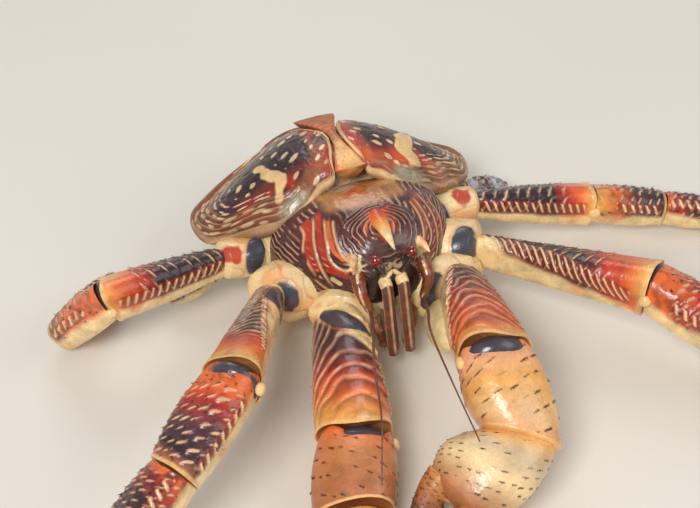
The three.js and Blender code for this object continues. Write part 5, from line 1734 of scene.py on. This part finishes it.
class CRAB_OT_stage(bpy.types.Operator):
    """Sets up the pale floor, the soft studio light and the camera"""

    bl_idname = "crab.stage"
    bl_label = "Stage"

    def execute(self, context):
        stage, scene = context.scene.crab_stage, context.scene
        half, level = 3.0, -0.0002
        corners = [(x, y, level) for x, y in ((-half, -half), (half, -half), (half, half), (-half, half))]
        mesh = bpy.data.meshes.new("floor")
        mesh.from_pydata(corners, [], [(0, 1, 2, 3)])
        floor = bpy.data.objects.new("floor", mesh)
        scene.collection.objects.link(floor)
        mesh.materials.append(floor_material(np.array(scene.crab_colours.floor)))
        for name, place, aim, size, power_w in (
            ("key_light", (-0.75, -0.95, 1.25), (0, -0.1, 0.03), 0.55, stage.key),
            ("fill_light", (0.95, -0.7, 0.9), (0, -0.1, 0.03), 0.9, stage.fill),
            ("rim_light", (0.2, 1.0, 1.0), (0, -0.05, 0.05), 0.8, stage.rim),
        ):
            data = bpy.data.lights.new(name, "AREA")
            data.size, data.energy = size, power_w
            lamp = bpy.data.objects.new(name, data)
            lamp.location = place
            aim_at(lamp, np.array(aim) - np.array(place))
            scene.collection.objects.link(lamp)
        world = bpy.data.worlds.new("studio")
        world.use_nodes = True
        back = world.node_tree.nodes["Background"]
        back.inputs["Color"].default_value = (0.93, 0.95, 1.0, 1)
        back.inputs["Strength"].default_value = stage.sky
        scene.world = world
        scene.view_settings.view_transform = "Standard"
        data = bpy.data.cameras.new("camera")
        data.sensor_width, data.lens = 36, stage.lens
        data.clip_start, data.clip_end = 0.01, 20
        camera = bpy.data.objects.new("camera", data)
        camera.location = stage.camera
        camera.rotation_euler = (math.pi / 2 - stage.elevation, 0, stage.azimuth)
        scene.collection.objects.link(camera)
        scene.camera = camera
        return {"FINISHED"}


def aim_at(lamp, direction):
    """Turns a lamp so that it shines along a direction."""
    x, y, z = direction
    lamp.rotation_euler = (math.atan2(math.hypot(x, y), -z), 0, math.atan2(x, -y) + math.pi)


def floor_material(colour):
    """A pale matt floor with a faint cloudy tone."""
    material = bpy.data.materials.new("studio_floor")
    material.use_nodes = True
    nodes, links = material.node_tree.nodes, material.node_tree.links
    shader = nodes["Principled BSDF"]
    where = nodes.new("ShaderNodeTexCoord")
    clouds = nodes.new("ShaderNodeTexNoise")
    clouds.inputs["Scale"].default_value = 3
    tones = nodes.new("ShaderNodeValToRGB")
    tones.color_ramp.elements[0].color = (*(colour * 0.94), 1)
    tones.color_ramp.elements[1].color = (*np.minimum(1, colour * 1.03), 1)
    links.new(where.outputs["Object"], clouds.inputs["Vector"])
    links.new(clouds.outputs["Fac"], tones.inputs["Fac"])
    links.new(tones.outputs["Color"], shader.inputs["Base Color"])
    shader.inputs["Roughness"].default_value = 0.75
    return material


class CRAB_PT_panel(bpy.types.Panel):
    """Lists the crab's pieces in the order in which they are built"""

    bl_idname = "CRAB_PT_panel"
    bl_label = "Coconut crab"
    bl_space_type = "VIEW_3D"
    bl_region_type = "UI"
    bl_category = "Crab"

    def draw(self, context):
        for name in ORDER:
            self.layout.operator("crab." + name)
        for group in (context.scene.crab_sizes, context.scene.crab_colours, context.scene.crab_stage):
            box = self.layout.box()
            for name in type(group).__annotations__:
                box.prop(group, name)


ORDER = ("shield", "back", "face", "body", "tail", "claws", "legs", "small_legs", "stage")
CLASSES = (
    CrabSizes, CrabColours, CrabStage, CRAB_OT_shield, CRAB_OT_back, CRAB_OT_face, CRAB_OT_body,
    CRAB_OT_tail, CRAB_OT_claws, CRAB_OT_legs, CRAB_OT_small_legs, CRAB_OT_stage, CRAB_PT_panel,
)


def register():
    for one in CLASSES:
        bpy.utils.register_class(one)
    bpy.types.Scene.crab_sizes = bpy.props.PointerProperty(type=CrabSizes)
    bpy.types.Scene.crab_colours = bpy.props.PointerProperty(type=CrabColours)
    bpy.types.Scene.crab_stage = bpy.props.PointerProperty(type=CrabStage)


def unregister():
    del bpy.types.Scene.crab_sizes, bpy.types.Scene.crab_colours, bpy.types.Scene.crab_stage
    for one in reversed(CLASSES):
        bpy.utils.unregister_class(one)


def main():
    """Builds every piece."""
    register()
    for name in ORDER:
        getattr(bpy.ops.crab, name)()


if __name__ == "__main__":
    main()
